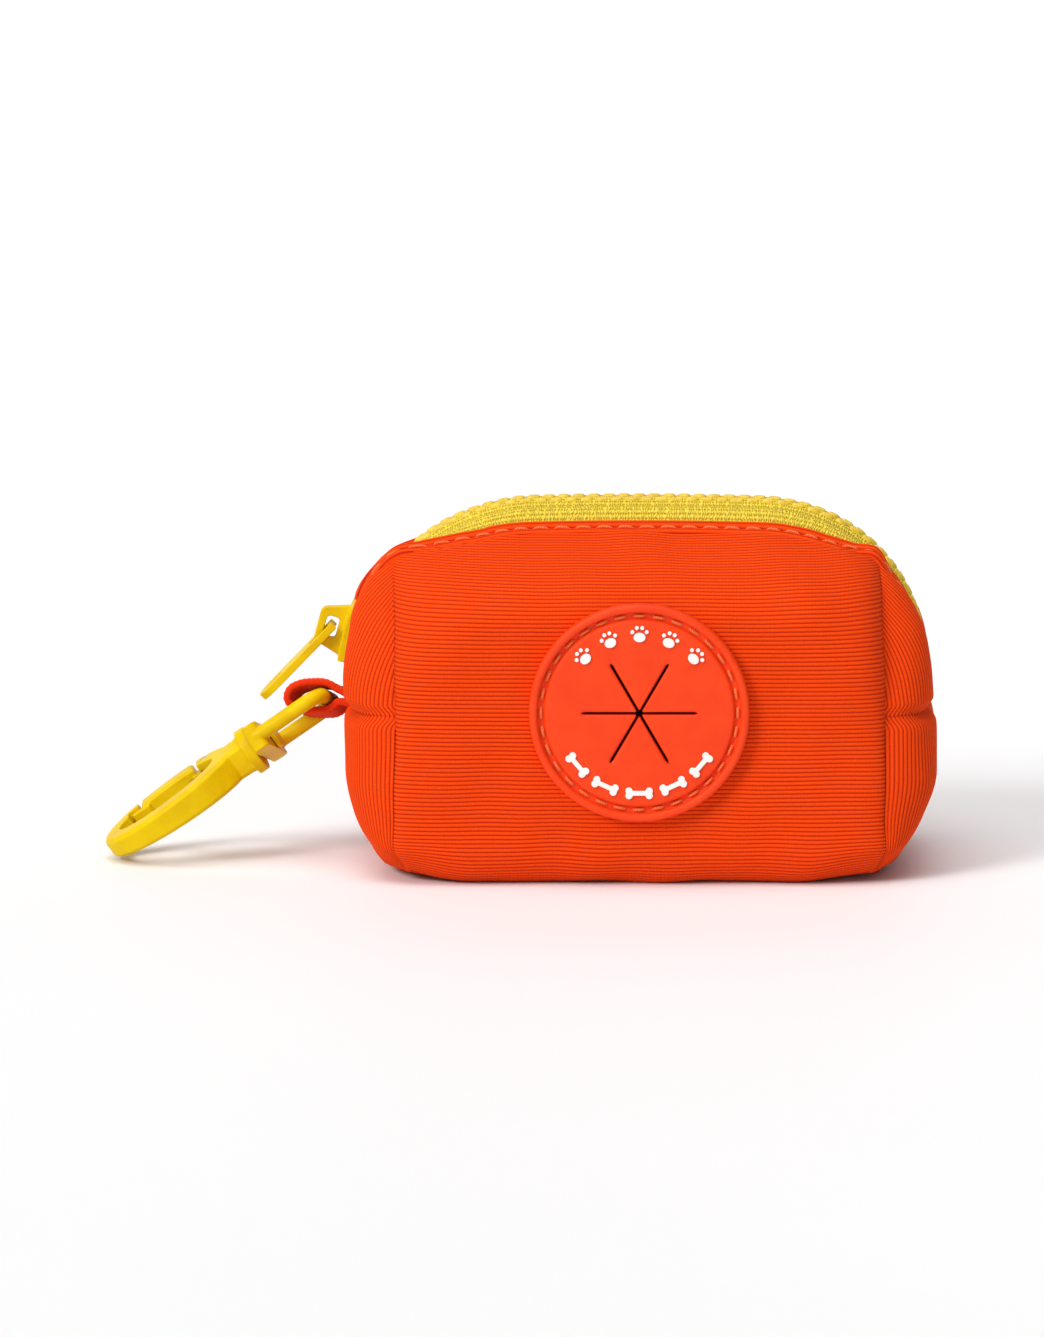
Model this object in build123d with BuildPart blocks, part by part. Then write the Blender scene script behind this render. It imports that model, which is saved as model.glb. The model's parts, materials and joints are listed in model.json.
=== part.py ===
from build123d import *
import math
import os

# A small boxed fabric pouch with an arched zip, a round silicone badge whose star of
# slits lets contents through, and a hang loop that carries a swivel snap hook.
# Millimetres. X runs along the zip, -Y is the front, Z is up, and the origin is the
# centre of the flat base.

# ---- pouch -----------------------------------------------------------------------
WALL = 2.5                  # padded fabric
DEPTH_HALF = 24.5           # the flat front and rear faces
BASE_HALF = 38.0            # where the base starts to round up into an end panel
SEAM_X = 41.5               # upright boxing seams
SEAM_DEPTH_HALF = 22.5
FLAT_X = 30.0               # the front starts to fall back towards its seams here
END_X = 50.2                # furthest bulge of an end panel
END_SEAM_Z = 28.5           # level seam across each end, where the zip stops
SHOULDER_Z = 53.5           # where the front face and the sloping top would cross
RIDGE_Z = 62.0
SHOULDER_R = 12.0
HEM_R = 4.0
END_CURVE = (46.6, 9.5)     # a point on the curve from the base up to an end's bulge
LEDGE = 1.5                 # the lower end panel swells past the zip's strip, just under the seam
END_ROUND = 0.2             # how much further the ends swell in plan than at the seams
SHOULDER_DROP = 0.4         # the sloping top starts this far under the ridge

# ---- zip -------------------------------------------------------------------------
ARC_X = 17.6                # centres of the two corner arcs of the zip's line
ARC_Z = 30.8
SHELL_R = 31.3              # fabric beside the zip
SLOT_HALF = 6.5             # half width of the opening in the fabric
TAPE_IN, TAPE_OUT = 29.9, 30.7
CHAIN_R = 30.3              # middle of the tape
TOOTH_PITCH = 2.55
TOOTH_LENGTH = 2.0
TOOTH_HEIGHT = 2.6
TOOTH_BACK, TOOTH_NECK, TOOTH_FRONT = 2.4, 1.0, 0.45
HEAD_OVERLAP = 0.1          # the head runs this far into the body
HEAD_STEP = 0.8             # the head is this much lower than the body
CHAIN_MARGIN = 1.0          # clear at the right end of the chain
FIRST_TOOTH = 8.0           # the chain starts inside the slider
STITCH_PITCH = 3.6
STITCH_Y = 8.0
STITCH_START, STITCH_GAP = 3.0, 1.0
THREAD = 0.5

# ---- slider and pull -------------------------------------------------------------
SLIDER_ANGLE = 164.5        # where it stands on the left arc
SLIDER_LENGTH = 9.6
SLIDER_HALF = 4.3
TOP_PLATE = (32.2, 33.6)
BOTTOM_PLATE = (27.4, 28.8)
FLANGE_IN = 2.9
FLANGE_GAP = (29.6, 31.0)   # the tape runs through here
WEDGE_LENGTH, WEDGE_HEIGHT, WEDGE_HALF = 2.4, 4.4, 0.3
BRIDGE_HALF = 0.9
BRIDGE_FOOT, BRIDGE_CROWN = 9.0, 5.8
BRIDGE_LOW, BRIDGE_TOP = 2.6, 7.8   # above the tape's middle
BRIDGE_CORNER = 1.2
HOLE_LOW, HOLE_HIGH = 4.3, 6.5
HOLE_LENGTH, HOLE_CORNER = 3.6, 0.6
PIVOT_HEIGHT = 5.4
PULL_ANGLE = 226.0          # direction that the pull hangs in
PULL_LENGTH = 17.0
PULL_THICK = 1.3
PULL_BAR_R = 0.65
PULL_WIDE, PULL_NARROW = 5.8, 5.0
EYE_END, EYE_WIDTH = 4.8, 2.8   # the eye that goes over the bridge
TIP_SLOT, TIP_SLOT_WIDTH = 2.2, 1.8
TIP_SLOT_SHIFT = 0.4

# ---- hang loop -------------------------------------------------------------------
LOOP_WIDTH = 8.5
LOOP_THICK = 1.4
LOOP_ROOT_X = -48.0
LOOP_NEAR_X, LOOP_FAR_X = -52.4, -57.2
LOOP_Z = 27.9
LOOP_INNER = 1.65
LOOP_ROOT_HALF = 1.3        # the strip's two ends lie together where they enter the seam
LOOP_CROTCH, CROTCH_HALF = 2.2, 0.1
FABRIC_GAP = 0.1

# ---- swivel snap hook ------------------------------------------------------------
SWIVEL_X, SWIVEL_Z = -63.6, 20.3
DESCENT = 35.0              # how steeply the hook runs down to its tip
EYE_ROLL, HOOK_ROLL = -20.0, 5.0
WIRE_R = 1.3
EYE_HALF = 6.5
EYE_LENGTH = 13.2
EYE_CORNER = 3.0
BLOCK_LOW, BLOCK_HIGH = -1.4, 1.6
BLOCK_HALF = 7.7
BLOCK_THICK, BLOCK_CORNER = 4.8, 1.2
STEM_R, STEM_RUNNING_R = 1.5, 1.57
STEM_DEPTH = 5.6
HEAD_R, HEAD_LOW, HEAD_HIGH, HEAD_ROUND = 2.5, 1.8, 2.7, 0.4
COLLAR_R, COLLAR_TOP, COLLAR_LOW = 4.2, -1.6, -3.4
NECK_R, NECK_END_R, NECK_END = 3.5, 2.0, 9.6
ROOT_S, ROOT_LENGTH, ROOT_WIDTH = 5.6, 5.0, 6.8     # block between the collar and the ring
HOOK_CHAMFER, GATE_CHAMFER = 0.6, 0.4
# the hook is thinner towards its tip
HOOK_ROOT_HALF, HOOK_TIP_HALF = 2.9, 1.8
HOOK_LENGTH = 32.2
RING_S = 18.6               # centre of the oval ring, from the swivel
RING_A, RING_B = 13.6, 8.6
HOLE_S, HOLE_A, HOLE_B = 18.9, 9.9, 5.0
GAP_FROM, GAP_TO = 12.4, 24.8
PIVOT_S, PIVOT_W = 10.6, 5.4
LUG_HALF = 1.0
EAR_GAP_HALF = 1.1
PIN_R, PIN_RUNNING_R = 0.8, 0.86
PIN_HALF = 2.4
TONGUE_W = (3.4, 5.4)
TONGUE_END, TONGUE_ROOT, TONGUE_CORNER = 26.4, 1.5, 0.6
TONGUE_INSET = 0.3
MOUTH_W, MOUTH_HEIGHT, GATE_HEIGHT = 7.0, 10.0, 9.0
NOTCH_CLEAR, NOTCH_HEIGHT = 0.2, 4.0
FORK_S, FORK_W = 10.2, 6.3          # the slot that holds the gate's lug
FORK_LENGTH, FORK_HEIGHT = 5.2, 6.0
GATE_FROM, GATE_TO = 13.3, 24.3
GATE_CLEAR = 0.1
LUG_R = 1.9
NECK_LUG = (0.8, 2.8)               # how far the lug's neck runs into the bar, and its height
LEAF_THICK, LEAF_WIDTH = 0.35, 1.7
LEAF_ROOT, LEAF_KNEE, LEAF_TIP = (7.9, 0.8), (9.3, 0.8), (14.6, 4.0)
LEAF_SLOT_S, LEAF_SLOT_LENGTH, LEAF_SLOT_HEIGHT, LEAF_SLOT_HALF = 8.6, 1.8, 0.45, 0.95

# ---- badge -----------------------------------------------------------------------
BADGE_Z = 30.0
BADGE_R = 18.45
RIM_R = 17.1
DISC_R = 15.9
BADGE_BASE, BADGE_RIM, BADGE_DISC = 1.2, 2.3, 2.0
STAR_HOLE_R = 11.0          # hole in the fabric behind the star
FLAP_ROOT = 8.5             # distance from the centre to a flap's bend
FLAP_THICK = 1.4
FLAP_MIDDLE = 1.2           # height of the bend above the fabric
SLIT_HALF = 0.4
BEND_GAP = 0.15
BADGE_STITCHES = 32
STITCH_R, STITCH_WIDTH, STITCH_LENGTH = 16.5, 0.6, 2.3
MOTIF_R = 13.5
MOTIF_THICK = 0.35
PAW_STEP, BONE_STEP = 22, 25        # degrees from one motif to the next
PAD_A, PAD_B, PAD_DROP = 1.0, 0.8, 0.55
TOE_R = 0.34
TOES = ((-1.2, 0.35), (-0.45, 1.05), (0.45, 1.05), (1.2, 0.35))
BONE_LENGTH, BONE_WIDTH = 3.4, 0.8
KNUCKLE_R = 0.6

os.makedirs("parts", exist_ok=True)


def keep(name, solid):
    """Label a finished piece and write its STEP file."""
    solid.label = name
    export_step(solid, f"parts/{name}.step")


def boxed_form(inset):
    """The pouch's outer form, drawn in by inset on every side."""
    widest = END_SEAM_Z - 2 * LEDGE
    with BuildPart() as form:
        with BuildSketch(Plane.XZ):
            with BuildLine():
                Line((-BASE_HALF, 0), (BASE_HALF, 0))
                for side in (1, -1):
                    end = side * END_X
                    shell = side * (ARC_X + SHELL_R)
                    ThreePointArc((side * BASE_HALF, 0), (side * END_CURVE[0], END_CURVE[1]), (end, widest))
                    Line((end, widest), (end, widest + LEDGE))
                    Line((end, widest + LEDGE), (shell, END_SEAM_Z))
                    Line((shell, END_SEAM_Z), (shell, ARC_Z))
                    turn = SHELL_R * math.sqrt(0.5)
                    ThreePointArc(
                        (shell, ARC_Z),
                        (side * (ARC_X + turn), ARC_Z + turn),
                        (side * ARC_X, ARC_Z + SHELL_R),
                    )
                Line((-ARC_X, ARC_Z + SHELL_R), (ARC_X, ARC_Z + SHELL_R))
            make_face()
            offset(amount=-inset)
        extrude(amount=2 * DEPTH_HALF, both=True)

        with BuildSketch(Plane.YZ) as section:
            with BuildLine():
                Polyline(
                    (-DEPTH_HALF, 0),
                    (DEPTH_HALF, 0),
                    (DEPTH_HALF, SHOULDER_Z),
                    (SLOT_HALF, RIDGE_Z - SHOULDER_DROP),
                    (0, RIDGE_Z),
                    (-SLOT_HALF, RIDGE_Z - SHOULDER_DROP),
                    (-DEPTH_HALF, SHOULDER_Z),
                    close=True,
                )
            make_face()
            levels = section.vertices().group_by(Axis.Y)
            fillet(levels[0], HEM_R)
            levels = section.vertices().group_by(Axis.Y)
            shoulders = [level for level in levels if abs(level[0].Y - SHOULDER_Z) < HEM_R]
            fillet(shoulders[0], SHOULDER_R)
            offset(amount=-inset)
        extrude(amount=2 * END_X, both=True, mode=Mode.INTERSECT)

        with BuildSketch(Plane.XY):
            with BuildLine():
                for side in (1, -1):
                    Line((-FLAT_X, side * DEPTH_HALF), (FLAT_X, side * DEPTH_HALF))
                    for end in (1, -1):
                        Line((end * FLAT_X, side * DEPTH_HALF), (end * SEAM_X, side * SEAM_DEPTH_HALF))
                for end in (1, -1):
                    ThreePointArc(
                        (end * SEAM_X, -SEAM_DEPTH_HALF),
                        (end * (END_X + END_ROUND), 0),
                        (end * SEAM_X, SEAM_DEPTH_HALF),
                    )
            make_face()
            offset(amount=-inset)
        extrude(amount=2 * RIDGE_Z, both=True, mode=Mode.INTERSECT)
    return form.part


def zip_band(inner, outer, low, near, far):
    """The strip between two arches under the zip's line, from y = near to y = far."""
    with BuildPart() as band:
        with BuildSketch(Plane.XZ.offset(-near)):
            for radius, mode in ((outer, Mode.ADD), (inner, Mode.SUBTRACT)):
                side = ARC_X + radius
                turn = radius * math.sqrt(0.5)
                top = ARC_Z + radius
                with BuildLine():
                    Line((-side, low), (side, low))
                    Line((side, low), (side, ARC_Z))
                    ThreePointArc((side, ARC_Z), (ARC_X + turn, ARC_Z + turn), (ARC_X, top))
                    Line((ARC_X, top), (-ARC_X, top))
                    ThreePointArc((-ARC_X, top), (-ARC_X - turn, ARC_Z + turn), (-side, ARC_Z))
                    Line((-side, ARC_Z), (-side, low))
                make_face(mode=mode)
        extrude(amount=near - far)
    return band.part


# ---- the fabric shell ------------------------------------------------------------
outer_form = boxed_form(0)
inner_form = boxed_form(WALL)
zip_slot = zip_band(SHELL_R / 1.5, 2 * SHELL_R, END_SEAM_Z, -SLOT_HALF, SLOT_HALF)
BADGE_PLANE = Plane(origin=(0, -DEPTH_HALF, BADGE_Z), x_dir=(1, 0, 0), z_dir=(0, -1, 0))

with BuildPart() as shell:
    add(outer_form)
    add(inner_form, mode=Mode.SUBTRACT)
    add(zip_slot, mode=Mode.SUBTRACT)
    with BuildSketch(BADGE_PLANE):
        Circle(STAR_HOLE_R)
    extrude(amount=-2 * WALL, mode=Mode.SUBTRACT)
keep("shell", shell.part)


# ---- zip tapes -------------------------------------------------------------------
with BuildPart() as tape_front:
    add(zip_band(TAPE_IN, TAPE_OUT, END_SEAM_Z, -SLOT_HALF, -TOOTH_BACK))
keep("zip_tape_front", tape_front.part)

with BuildPart() as tape_rear:
    add(zip_band(TAPE_IN, TAPE_OUT, END_SEAM_Z, TOOTH_BACK, SLOT_HALF))
keep("zip_tape_rear", tape_rear.part)


# ---- zip teeth -------------------------------------------------------------------
END_RUN = ARC_Z - END_SEAM_Z
ARC_RUN = math.pi / 2 * CHAIN_R
CHAIN_RUN = 2 * (END_RUN + ARC_RUN + ARC_X)


def chain_spot(distance, y):
    """A plane on the zip's line, that far from its left end: X along it, Z outwards."""
    flat_start = END_RUN + ARC_RUN
    flat_end = flat_start + 2 * ARC_X
    if distance < END_RUN:
        x, z, angle = -ARC_X - CHAIN_R, END_SEAM_Z + distance, 180.0
    elif distance < flat_start:
        angle = 180.0 - math.degrees((distance - END_RUN) / CHAIN_R)
        x = -ARC_X + CHAIN_R * math.cos(math.radians(angle))
        z = ARC_Z + CHAIN_R * math.sin(math.radians(angle))
    elif distance < flat_end:
        x, z, angle = -ARC_X + distance - flat_start, ARC_Z + CHAIN_R, 90.0
    elif distance < flat_end + ARC_RUN:
        angle = 90.0 - math.degrees((distance - flat_end) / CHAIN_R)
        x = ARC_X + CHAIN_R * math.cos(math.radians(angle))
        z = ARC_Z + CHAIN_R * math.sin(math.radians(angle))
    else:
        x, z, angle = ARC_X + CHAIN_R, ARC_Z - (distance - flat_end - ARC_RUN), 0.0
    outwards = Vector(math.cos(math.radians(angle)), 0, math.sin(math.radians(angle)))
    along = Vector(outwards.Z, 0, -outwards.X)
    return Plane(origin=(x, y, z), x_dir=along, z_dir=outwards)


def row_of_teeth(side, first):
    """One row of moulded teeth, each with a body on the tape and a narrower head."""
    body_y = side * (TOOTH_BACK + TOOTH_NECK) / 2
    head_y = side * (TOOTH_NECK + HEAD_OVERLAP + TOOTH_FRONT) / 2
    count = int((CHAIN_RUN - CHAIN_MARGIN - first) / TOOTH_PITCH)
    bodies = [chain_spot(first + i * TOOTH_PITCH, body_y) for i in range(count)]
    heads = [chain_spot(first + i * TOOTH_PITCH, head_y) for i in range(count)]
    with BuildPart() as row:
        with Locations(*bodies):
            Box(TOOTH_LENGTH, TOOTH_BACK - TOOTH_NECK, TOOTH_HEIGHT)
        with Locations(*heads):
            Box(TOOTH_LENGTH / 2, TOOTH_NECK + HEAD_OVERLAP - TOOTH_FRONT, TOOTH_HEIGHT - HEAD_STEP)
    return row.part


keep("zip_teeth_front", row_of_teeth(-1, FIRST_TOOTH))
keep("zip_teeth_rear", row_of_teeth(1, FIRST_TOOTH + TOOTH_PITCH / 2))


# ---- slider ----------------------------------------------------------------------
slider_out = Vector(math.cos(math.radians(SLIDER_ANGLE)), 0, math.sin(math.radians(SLIDER_ANGLE)))
slider_down = Vector(-slider_out.Z, 0, slider_out.X)
arc_centre = Vector(-ARC_X, 0, ARC_Z)
SLIDER_PLANE = Plane(origin=arc_centre + slider_out * CHAIN_R, x_dir=slider_down, z_dir=(0, 1, 0))


def slider_ring(inner, outer, near, far):
    """A length of ring about the zip's corner, as long as the slider, from y = near to far."""
    with BuildPart() as ring:
        with BuildSketch(SLIDER_PLANE.offset(near)):
            with Locations((0, -CHAIN_R)):
                Circle(outer)
                Circle(inner, mode=Mode.SUBTRACT)
            Rectangle(SLIDER_LENGTH, 2 * BRIDGE_TOP, mode=Mode.INTERSECT)
        extrude(amount=far - near)
    return ring.part


with BuildPart() as slider:
    add(slider_ring(*TOP_PLATE, -SLIDER_HALF, SLIDER_HALF))
    add(slider_ring(*BOTTOM_PLATE, -SLIDER_HALF, SLIDER_HALF))
    for near, far in ((-SLIDER_HALF, -FLANGE_IN), (FLANGE_IN, SLIDER_HALF)):
        add(slider_ring(FLANGE_GAP[1], TOP_PLATE[1], near, far))
        add(slider_ring(BOTTOM_PLATE[0], FLANGE_GAP[0], near, far))
    # the wedge that parts the teeth, at the leading end
    with BuildSketch(SLIDER_PLANE):
        with Locations(((SLIDER_LENGTH - WEDGE_LENGTH) / 2, 0)):
            Rectangle(WEDGE_LENGTH, WEDGE_HEIGHT)
    extrude(amount=WEDGE_HALF, both=True)
    # the bridge that holds the pull
    with BuildSketch(SLIDER_PLANE) as bridge:
        with BuildLine():
            Polyline(
                (-BRIDGE_FOOT / 2, BRIDGE_LOW),
                (BRIDGE_FOOT / 2, BRIDGE_LOW),
                (BRIDGE_CROWN / 2, BRIDGE_TOP),
                (-BRIDGE_CROWN / 2, BRIDGE_TOP),
                close=True,
            )
        make_face()
        fillet(bridge.vertices().group_by(Axis.Y)[-1], BRIDGE_CORNER)
        with Locations((0, (HOLE_LOW + HOLE_HIGH) / 2)):
            RectangleRounded(HOLE_LENGTH, HOLE_HIGH - HOLE_LOW, HOLE_CORNER, mode=Mode.SUBTRACT)
    extrude(amount=BRIDGE_HALF, both=True)
keep("zip_slider", slider.part)


# ---- pull ------------------------------------------------------------------------
pull_along = Vector(math.cos(math.radians(PULL_ANGLE)), 0, math.sin(math.radians(PULL_ANGLE)))
pull_face = Vector(pull_along.Z, 0, -pull_along.X)
pull_pivot = arc_centre + slider_out * (CHAIN_R + PIVOT_HEIGHT)
PULL_PLANE = Plane(origin=pull_pivot, x_dir=pull_along, z_dir=pull_face)

with BuildPart() as pull:
    with BuildSketch(PULL_PLANE):
        with BuildLine():
            half_wide = PULL_WIDE / 2
            half_narrow = PULL_NARROW / 2
            Polyline(
                (-PULL_BAR_R, -half_narrow),
                (EYE_END, -half_wide),
                (PULL_LENGTH - half_wide, -half_wide),
            )
            ThreePointArc(
                (PULL_LENGTH - half_wide, -half_wide),
                (PULL_LENGTH, 0),
                (PULL_LENGTH - half_wide, half_wide),
            )
            Polyline(
                (PULL_LENGTH - half_wide, half_wide),
                (EYE_END, half_wide),
                (-PULL_BAR_R, half_narrow),
                (-PULL_BAR_R, -half_narrow),
            )
        make_face()
        with Locations(((EYE_END - PULL_BAR_R) / 2, 0)):
            Rectangle(EYE_END + PULL_BAR_R, EYE_WIDTH, mode=Mode.SUBTRACT)
        with Locations((PULL_LENGTH - half_wide - TIP_SLOT_SHIFT, 0)):
            SlotCenterToCenter(TIP_SLOT, TIP_SLOT_WIDTH, mode=Mode.SUBTRACT)
    extrude(amount=PULL_THICK / 2, both=True)
    with BuildSketch(Plane(origin=pull_pivot, x_dir=pull_along, z_dir=(0, 1, 0))):
        Circle(PULL_BAR_R)
    extrude(amount=PULL_NARROW / 2, both=True)
keep("zip_pull", pull.part)


# ---- directions of the hook ------------------------------------------------------
hook_along = Vector(-math.cos(math.radians(DESCENT)), 0, -math.sin(math.radians(DESCENT)))
hook_up = Vector(hook_along.Z, 0, -hook_along.X)
swivel = Vector(SWIVEL_X, 0, SWIVEL_Z)


def across(roll):
    """The direction across the hook, rolled about the hook's length from +Y."""
    return Vector(0, 1, 0) * math.cos(math.radians(roll)) + hook_up * math.sin(math.radians(roll))


eye_across = across(EYE_ROLL)
EYE_PLANE = Plane(origin=swivel, x_dir=-hook_along, z_dir=(-hook_along).cross(eye_across))
HOOK_PLANE = Plane(origin=swivel, x_dir=hook_along, z_dir=hook_along.cross(across(HOOK_ROLL)))
STEM_PLANE = Plane(origin=swivel, x_dir=eye_across, z_dir=-hook_along)


# ---- hang loop -------------------------------------------------------------------
loop_clearance = boxed_form(-FABRIC_GAP)
loop_outer = LOOP_INNER + LOOP_THICK

with BuildPart() as loop:
    with BuildSketch(Plane.XZ):
        for half, root, root_half, mode in (
            (loop_outer, LOOP_ROOT_X, LOOP_ROOT_HALF, Mode.ADD),
            (LOOP_INNER, LOOP_NEAR_X + LOOP_CROTCH, CROTCH_HALF, Mode.SUBTRACT),
        ):
            with Locations(((LOOP_NEAR_X + LOOP_FAR_X) / 2, LOOP_Z)):
                SlotCenterToCenter(LOOP_NEAR_X - LOOP_FAR_X, 2 * half, mode=mode)
            with BuildLine():
                Polyline(
                    (LOOP_NEAR_X, LOOP_Z - half),
                    (root, LOOP_Z - root_half),
                    (root, LOOP_Z + root_half),
                    (LOOP_NEAR_X, LOOP_Z + half),
                    close=True,
                )
            make_face(mode=mode)
    extrude(amount=LOOP_WIDTH / 2, dir=eye_across, both=True)
    add(loop_clearance, mode=Mode.SUBTRACT)
keep("hang_loop", loop.part)


# ---- swivel eye ------------------------------------------------------------------
with BuildPart() as eye:
    with BuildLine(EYE_PLANE) as wire:
        FilletPolyline(
            (0, -EYE_HALF),
            (EYE_LENGTH, -EYE_HALF),
            (EYE_LENGTH, EYE_HALF),
            (0, EYE_HALF),
            radius=EYE_CORNER,
        )
    with BuildSketch(Plane(origin=wire.line @ 0, z_dir=wire.line % 0)):
        Circle(WIRE_R)
    sweep()
    with BuildSketch(EYE_PLANE):
        with Locations(((BLOCK_LOW + BLOCK_HIGH) / 2, 0)):
            RectangleRounded(BLOCK_HIGH - BLOCK_LOW, 2 * BLOCK_HALF, BLOCK_CORNER)
    extrude(amount=BLOCK_THICK / 2, both=True)
    with BuildSketch(STEM_PLANE.offset(BLOCK_LOW)):
        Circle(STEM_RUNNING_R)
    extrude(amount=BLOCK_HIGH - BLOCK_LOW, mode=Mode.SUBTRACT)
keep("swivel_eye", eye.part)


# ---- swivel rivet ----------------------------------------------------------------
with BuildPart() as rivet:
    with BuildSketch(STEM_PLANE.offset(-STEM_DEPTH)):
        Circle(STEM_R)
    extrude(amount=STEM_DEPTH + HEAD_LOW)
    with BuildSketch(STEM_PLANE.offset(HEAD_LOW)):
        Circle(HEAD_R)
    extrude(amount=HEAD_HIGH - HEAD_LOW)
    fillet(rivet.edges().filter_by(GeomType.CIRCLE).sort_by(Axis(swivel, -hook_along))[-1], HEAD_ROUND)
keep("swivel_rivet", rivet.part)


# ---- hook body -------------------------------------------------------------------
HOOK_NORMAL = Axis((0, 0, 0), HOOK_PLANE.z_dir)
SIDE_PLANE = Plane(origin=swivel, x_dir=hook_along, z_dir=-HOOK_PLANE.y_dir)


def hook_wedge(inset):
    """The tapering space between the hook's two broad faces, drawn in by inset."""
    with BuildPart() as wedge:
        with BuildSketch(SIDE_PLANE):
            with BuildLine():
                Polyline(
                    (0, -HOOK_ROOT_HALF + inset),
                    (HOOK_LENGTH + 1, -HOOK_TIP_HALF + inset),
                    (HOOK_LENGTH + 1, HOOK_TIP_HALF - inset),
                    (0, HOOK_ROOT_HALF - inset),
                    close=True,
                )
            make_face()
        extrude(amount=2 * RING_B, both=True)
    return wedge.part


notch_end = TONGUE_END + 2 * NOTCH_CLEAR
with BuildPart() as hook:
    with BuildSketch(HOOK_PLANE):
        with Locations((RING_S, 0)):
            Ellipse(RING_A, RING_B)
        with Locations((ROOT_S, 0)):
            Rectangle(ROOT_LENGTH, ROOT_WIDTH)
    extrude(amount=2 * HOOK_ROOT_HALF, both=True)
    add(hook_wedge(0), mode=Mode.INTERSECT)
    broad_faces = hook.faces().sort_by(HOOK_NORMAL)
    chamfer([*broad_faces[0].edges(), *broad_faces[-1].edges()], HOOK_CHAMFER)
    # collar and tapering neck, turned about the swivel
    with BuildSketch(STEM_PLANE.offset(COLLAR_TOP)):
        Circle(COLLAR_R)
    extrude(amount=COLLAR_LOW - COLLAR_TOP)
    with BuildSketch(STEM_PLANE.offset(COLLAR_LOW)):
        Circle(NECK_R)
    with BuildSketch(STEM_PLANE.offset(-NECK_END)):
        Circle(NECK_END_R)
    loft()
    # the ring's hole, the mouth that the gate shuts and the notch its tongue rests in
    with BuildSketch(HOOK_PLANE):
        with Locations((HOLE_S, 0)):
            Ellipse(HOLE_A, HOLE_B)
    extrude(amount=2 * HOOK_ROOT_HALF, both=True, mode=Mode.SUBTRACT)
    with BuildSketch(HOOK_PLANE):
        with Locations(((GAP_FROM + GAP_TO) / 2, MOUTH_W)):
            Rectangle(GAP_TO - GAP_FROM, MOUTH_HEIGHT)
        with Locations(((GAP_TO + notch_end) / 2, TONGUE_W[1] + NOTCH_CLEAR / 2 - NOTCH_HEIGHT / 2)):
            Rectangle(notch_end - GAP_TO + NOTCH_CLEAR, NOTCH_HEIGHT)
    extrude(amount=2 * HOOK_ROOT_HALF, both=True, mode=Mode.SUBTRACT)
    # the fork that holds the gate's lug, its pin hole, the spring's slot and the stem's bore
    with BuildSketch(HOOK_PLANE):
        with Locations((FORK_S, FORK_W)):
            Rectangle(FORK_LENGTH, FORK_HEIGHT)
    extrude(amount=EAR_GAP_HALF, both=True, mode=Mode.SUBTRACT)
    with BuildSketch(HOOK_PLANE):
        with Locations((PIVOT_S, PIVOT_W)):
            Circle(PIN_R)
    extrude(amount=2 * HOOK_ROOT_HALF, both=True, mode=Mode.SUBTRACT)
    with BuildSketch(HOOK_PLANE):
        with Locations((LEAF_SLOT_S, LEAF_ROOT[1])):
            Rectangle(LEAF_SLOT_LENGTH, LEAF_SLOT_HEIGHT)
    extrude(amount=LEAF_SLOT_HALF, both=True, mode=Mode.SUBTRACT)
    with BuildSketch(STEM_PLANE.offset(COLLAR_TOP)):
        Circle(STEM_R)
    extrude(amount=-(STEM_DEPTH + COLLAR_TOP), mode=Mode.SUBTRACT)
keep("hook_body", hook.part)


# ---- gate ------------------------------------------------------------------------
with BuildPart() as gate:
    # the bar, cut from the same oval as the ring
    with BuildSketch(HOOK_PLANE):
        with Locations((RING_S, 0)):
            Ellipse(RING_A, RING_B)
        with Locations((HOLE_S, 0)):
            Ellipse(HOLE_A, HOLE_B, mode=Mode.SUBTRACT)
        with Locations(((GATE_FROM + GATE_TO) / 2, MOUTH_W)):
            Rectangle(GATE_TO - GATE_FROM, GATE_HEIGHT, mode=Mode.INTERSECT)
    extrude(amount=2 * HOOK_ROOT_HALF, both=True)
    add(hook_wedge(GATE_CLEAR), mode=Mode.INTERSECT)
    broad_faces = gate.faces().sort_by(HOOK_NORMAL)
    chamfer([*broad_faces[0].edges(), *broad_faces[-1].edges()], GATE_CHAMFER)
    # the tongue that rests inside the nose
    with BuildSketch(HOOK_PLANE):
        with Locations(((GATE_TO - TONGUE_ROOT + TONGUE_END) / 2, sum(TONGUE_W) / 2)):
            RectangleRounded(TONGUE_END - GATE_TO + TONGUE_ROOT, TONGUE_W[1] - TONGUE_W[0], TONGUE_CORNER)
    extrude(amount=HOOK_TIP_HALF - TONGUE_INSET, both=True)
    # the lug in the fork
    with BuildSketch(HOOK_PLANE):
        with Locations((PIVOT_S, PIVOT_W)):
            Circle(LUG_R)
        with Locations(((PIVOT_S + GATE_FROM + NECK_LUG[0]) / 2, PIVOT_W)):
            Rectangle(GATE_FROM + NECK_LUG[0] - PIVOT_S, NECK_LUG[1])
    extrude(amount=LUG_HALF, both=True)
    with BuildSketch(HOOK_PLANE):
        with Locations((PIVOT_S, PIVOT_W)):
            Circle(PIN_RUNNING_R)
    extrude(amount=2 * HOOK_ROOT_HALF, both=True, mode=Mode.SUBTRACT)
keep("gate", gate.part)

with BuildPart() as gate_pin:
    with BuildSketch(HOOK_PLANE):
        with Locations((PIVOT_S, PIVOT_W)):
            Circle(PIN_R)
    extrude(amount=PIN_HALF, both=True)
keep("gate_pin", gate_pin.part)


# ---- gate spring, a leaf from the fork's root to the gate's inner side -----------
with BuildPart() as gate_spring:
    with BuildSketch(HOOK_PLANE):
        with BuildLine():
            Line(LEAF_ROOT, LEAF_KNEE)
            TangentArc(LEAF_KNEE, LEAF_TIP, tangent=(1, 0))
        trace(line_width=LEAF_THICK)
    extrude(amount=LEAF_WIDTH / 2, both=True)
keep("gate_spring", gate_spring.part)


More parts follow.
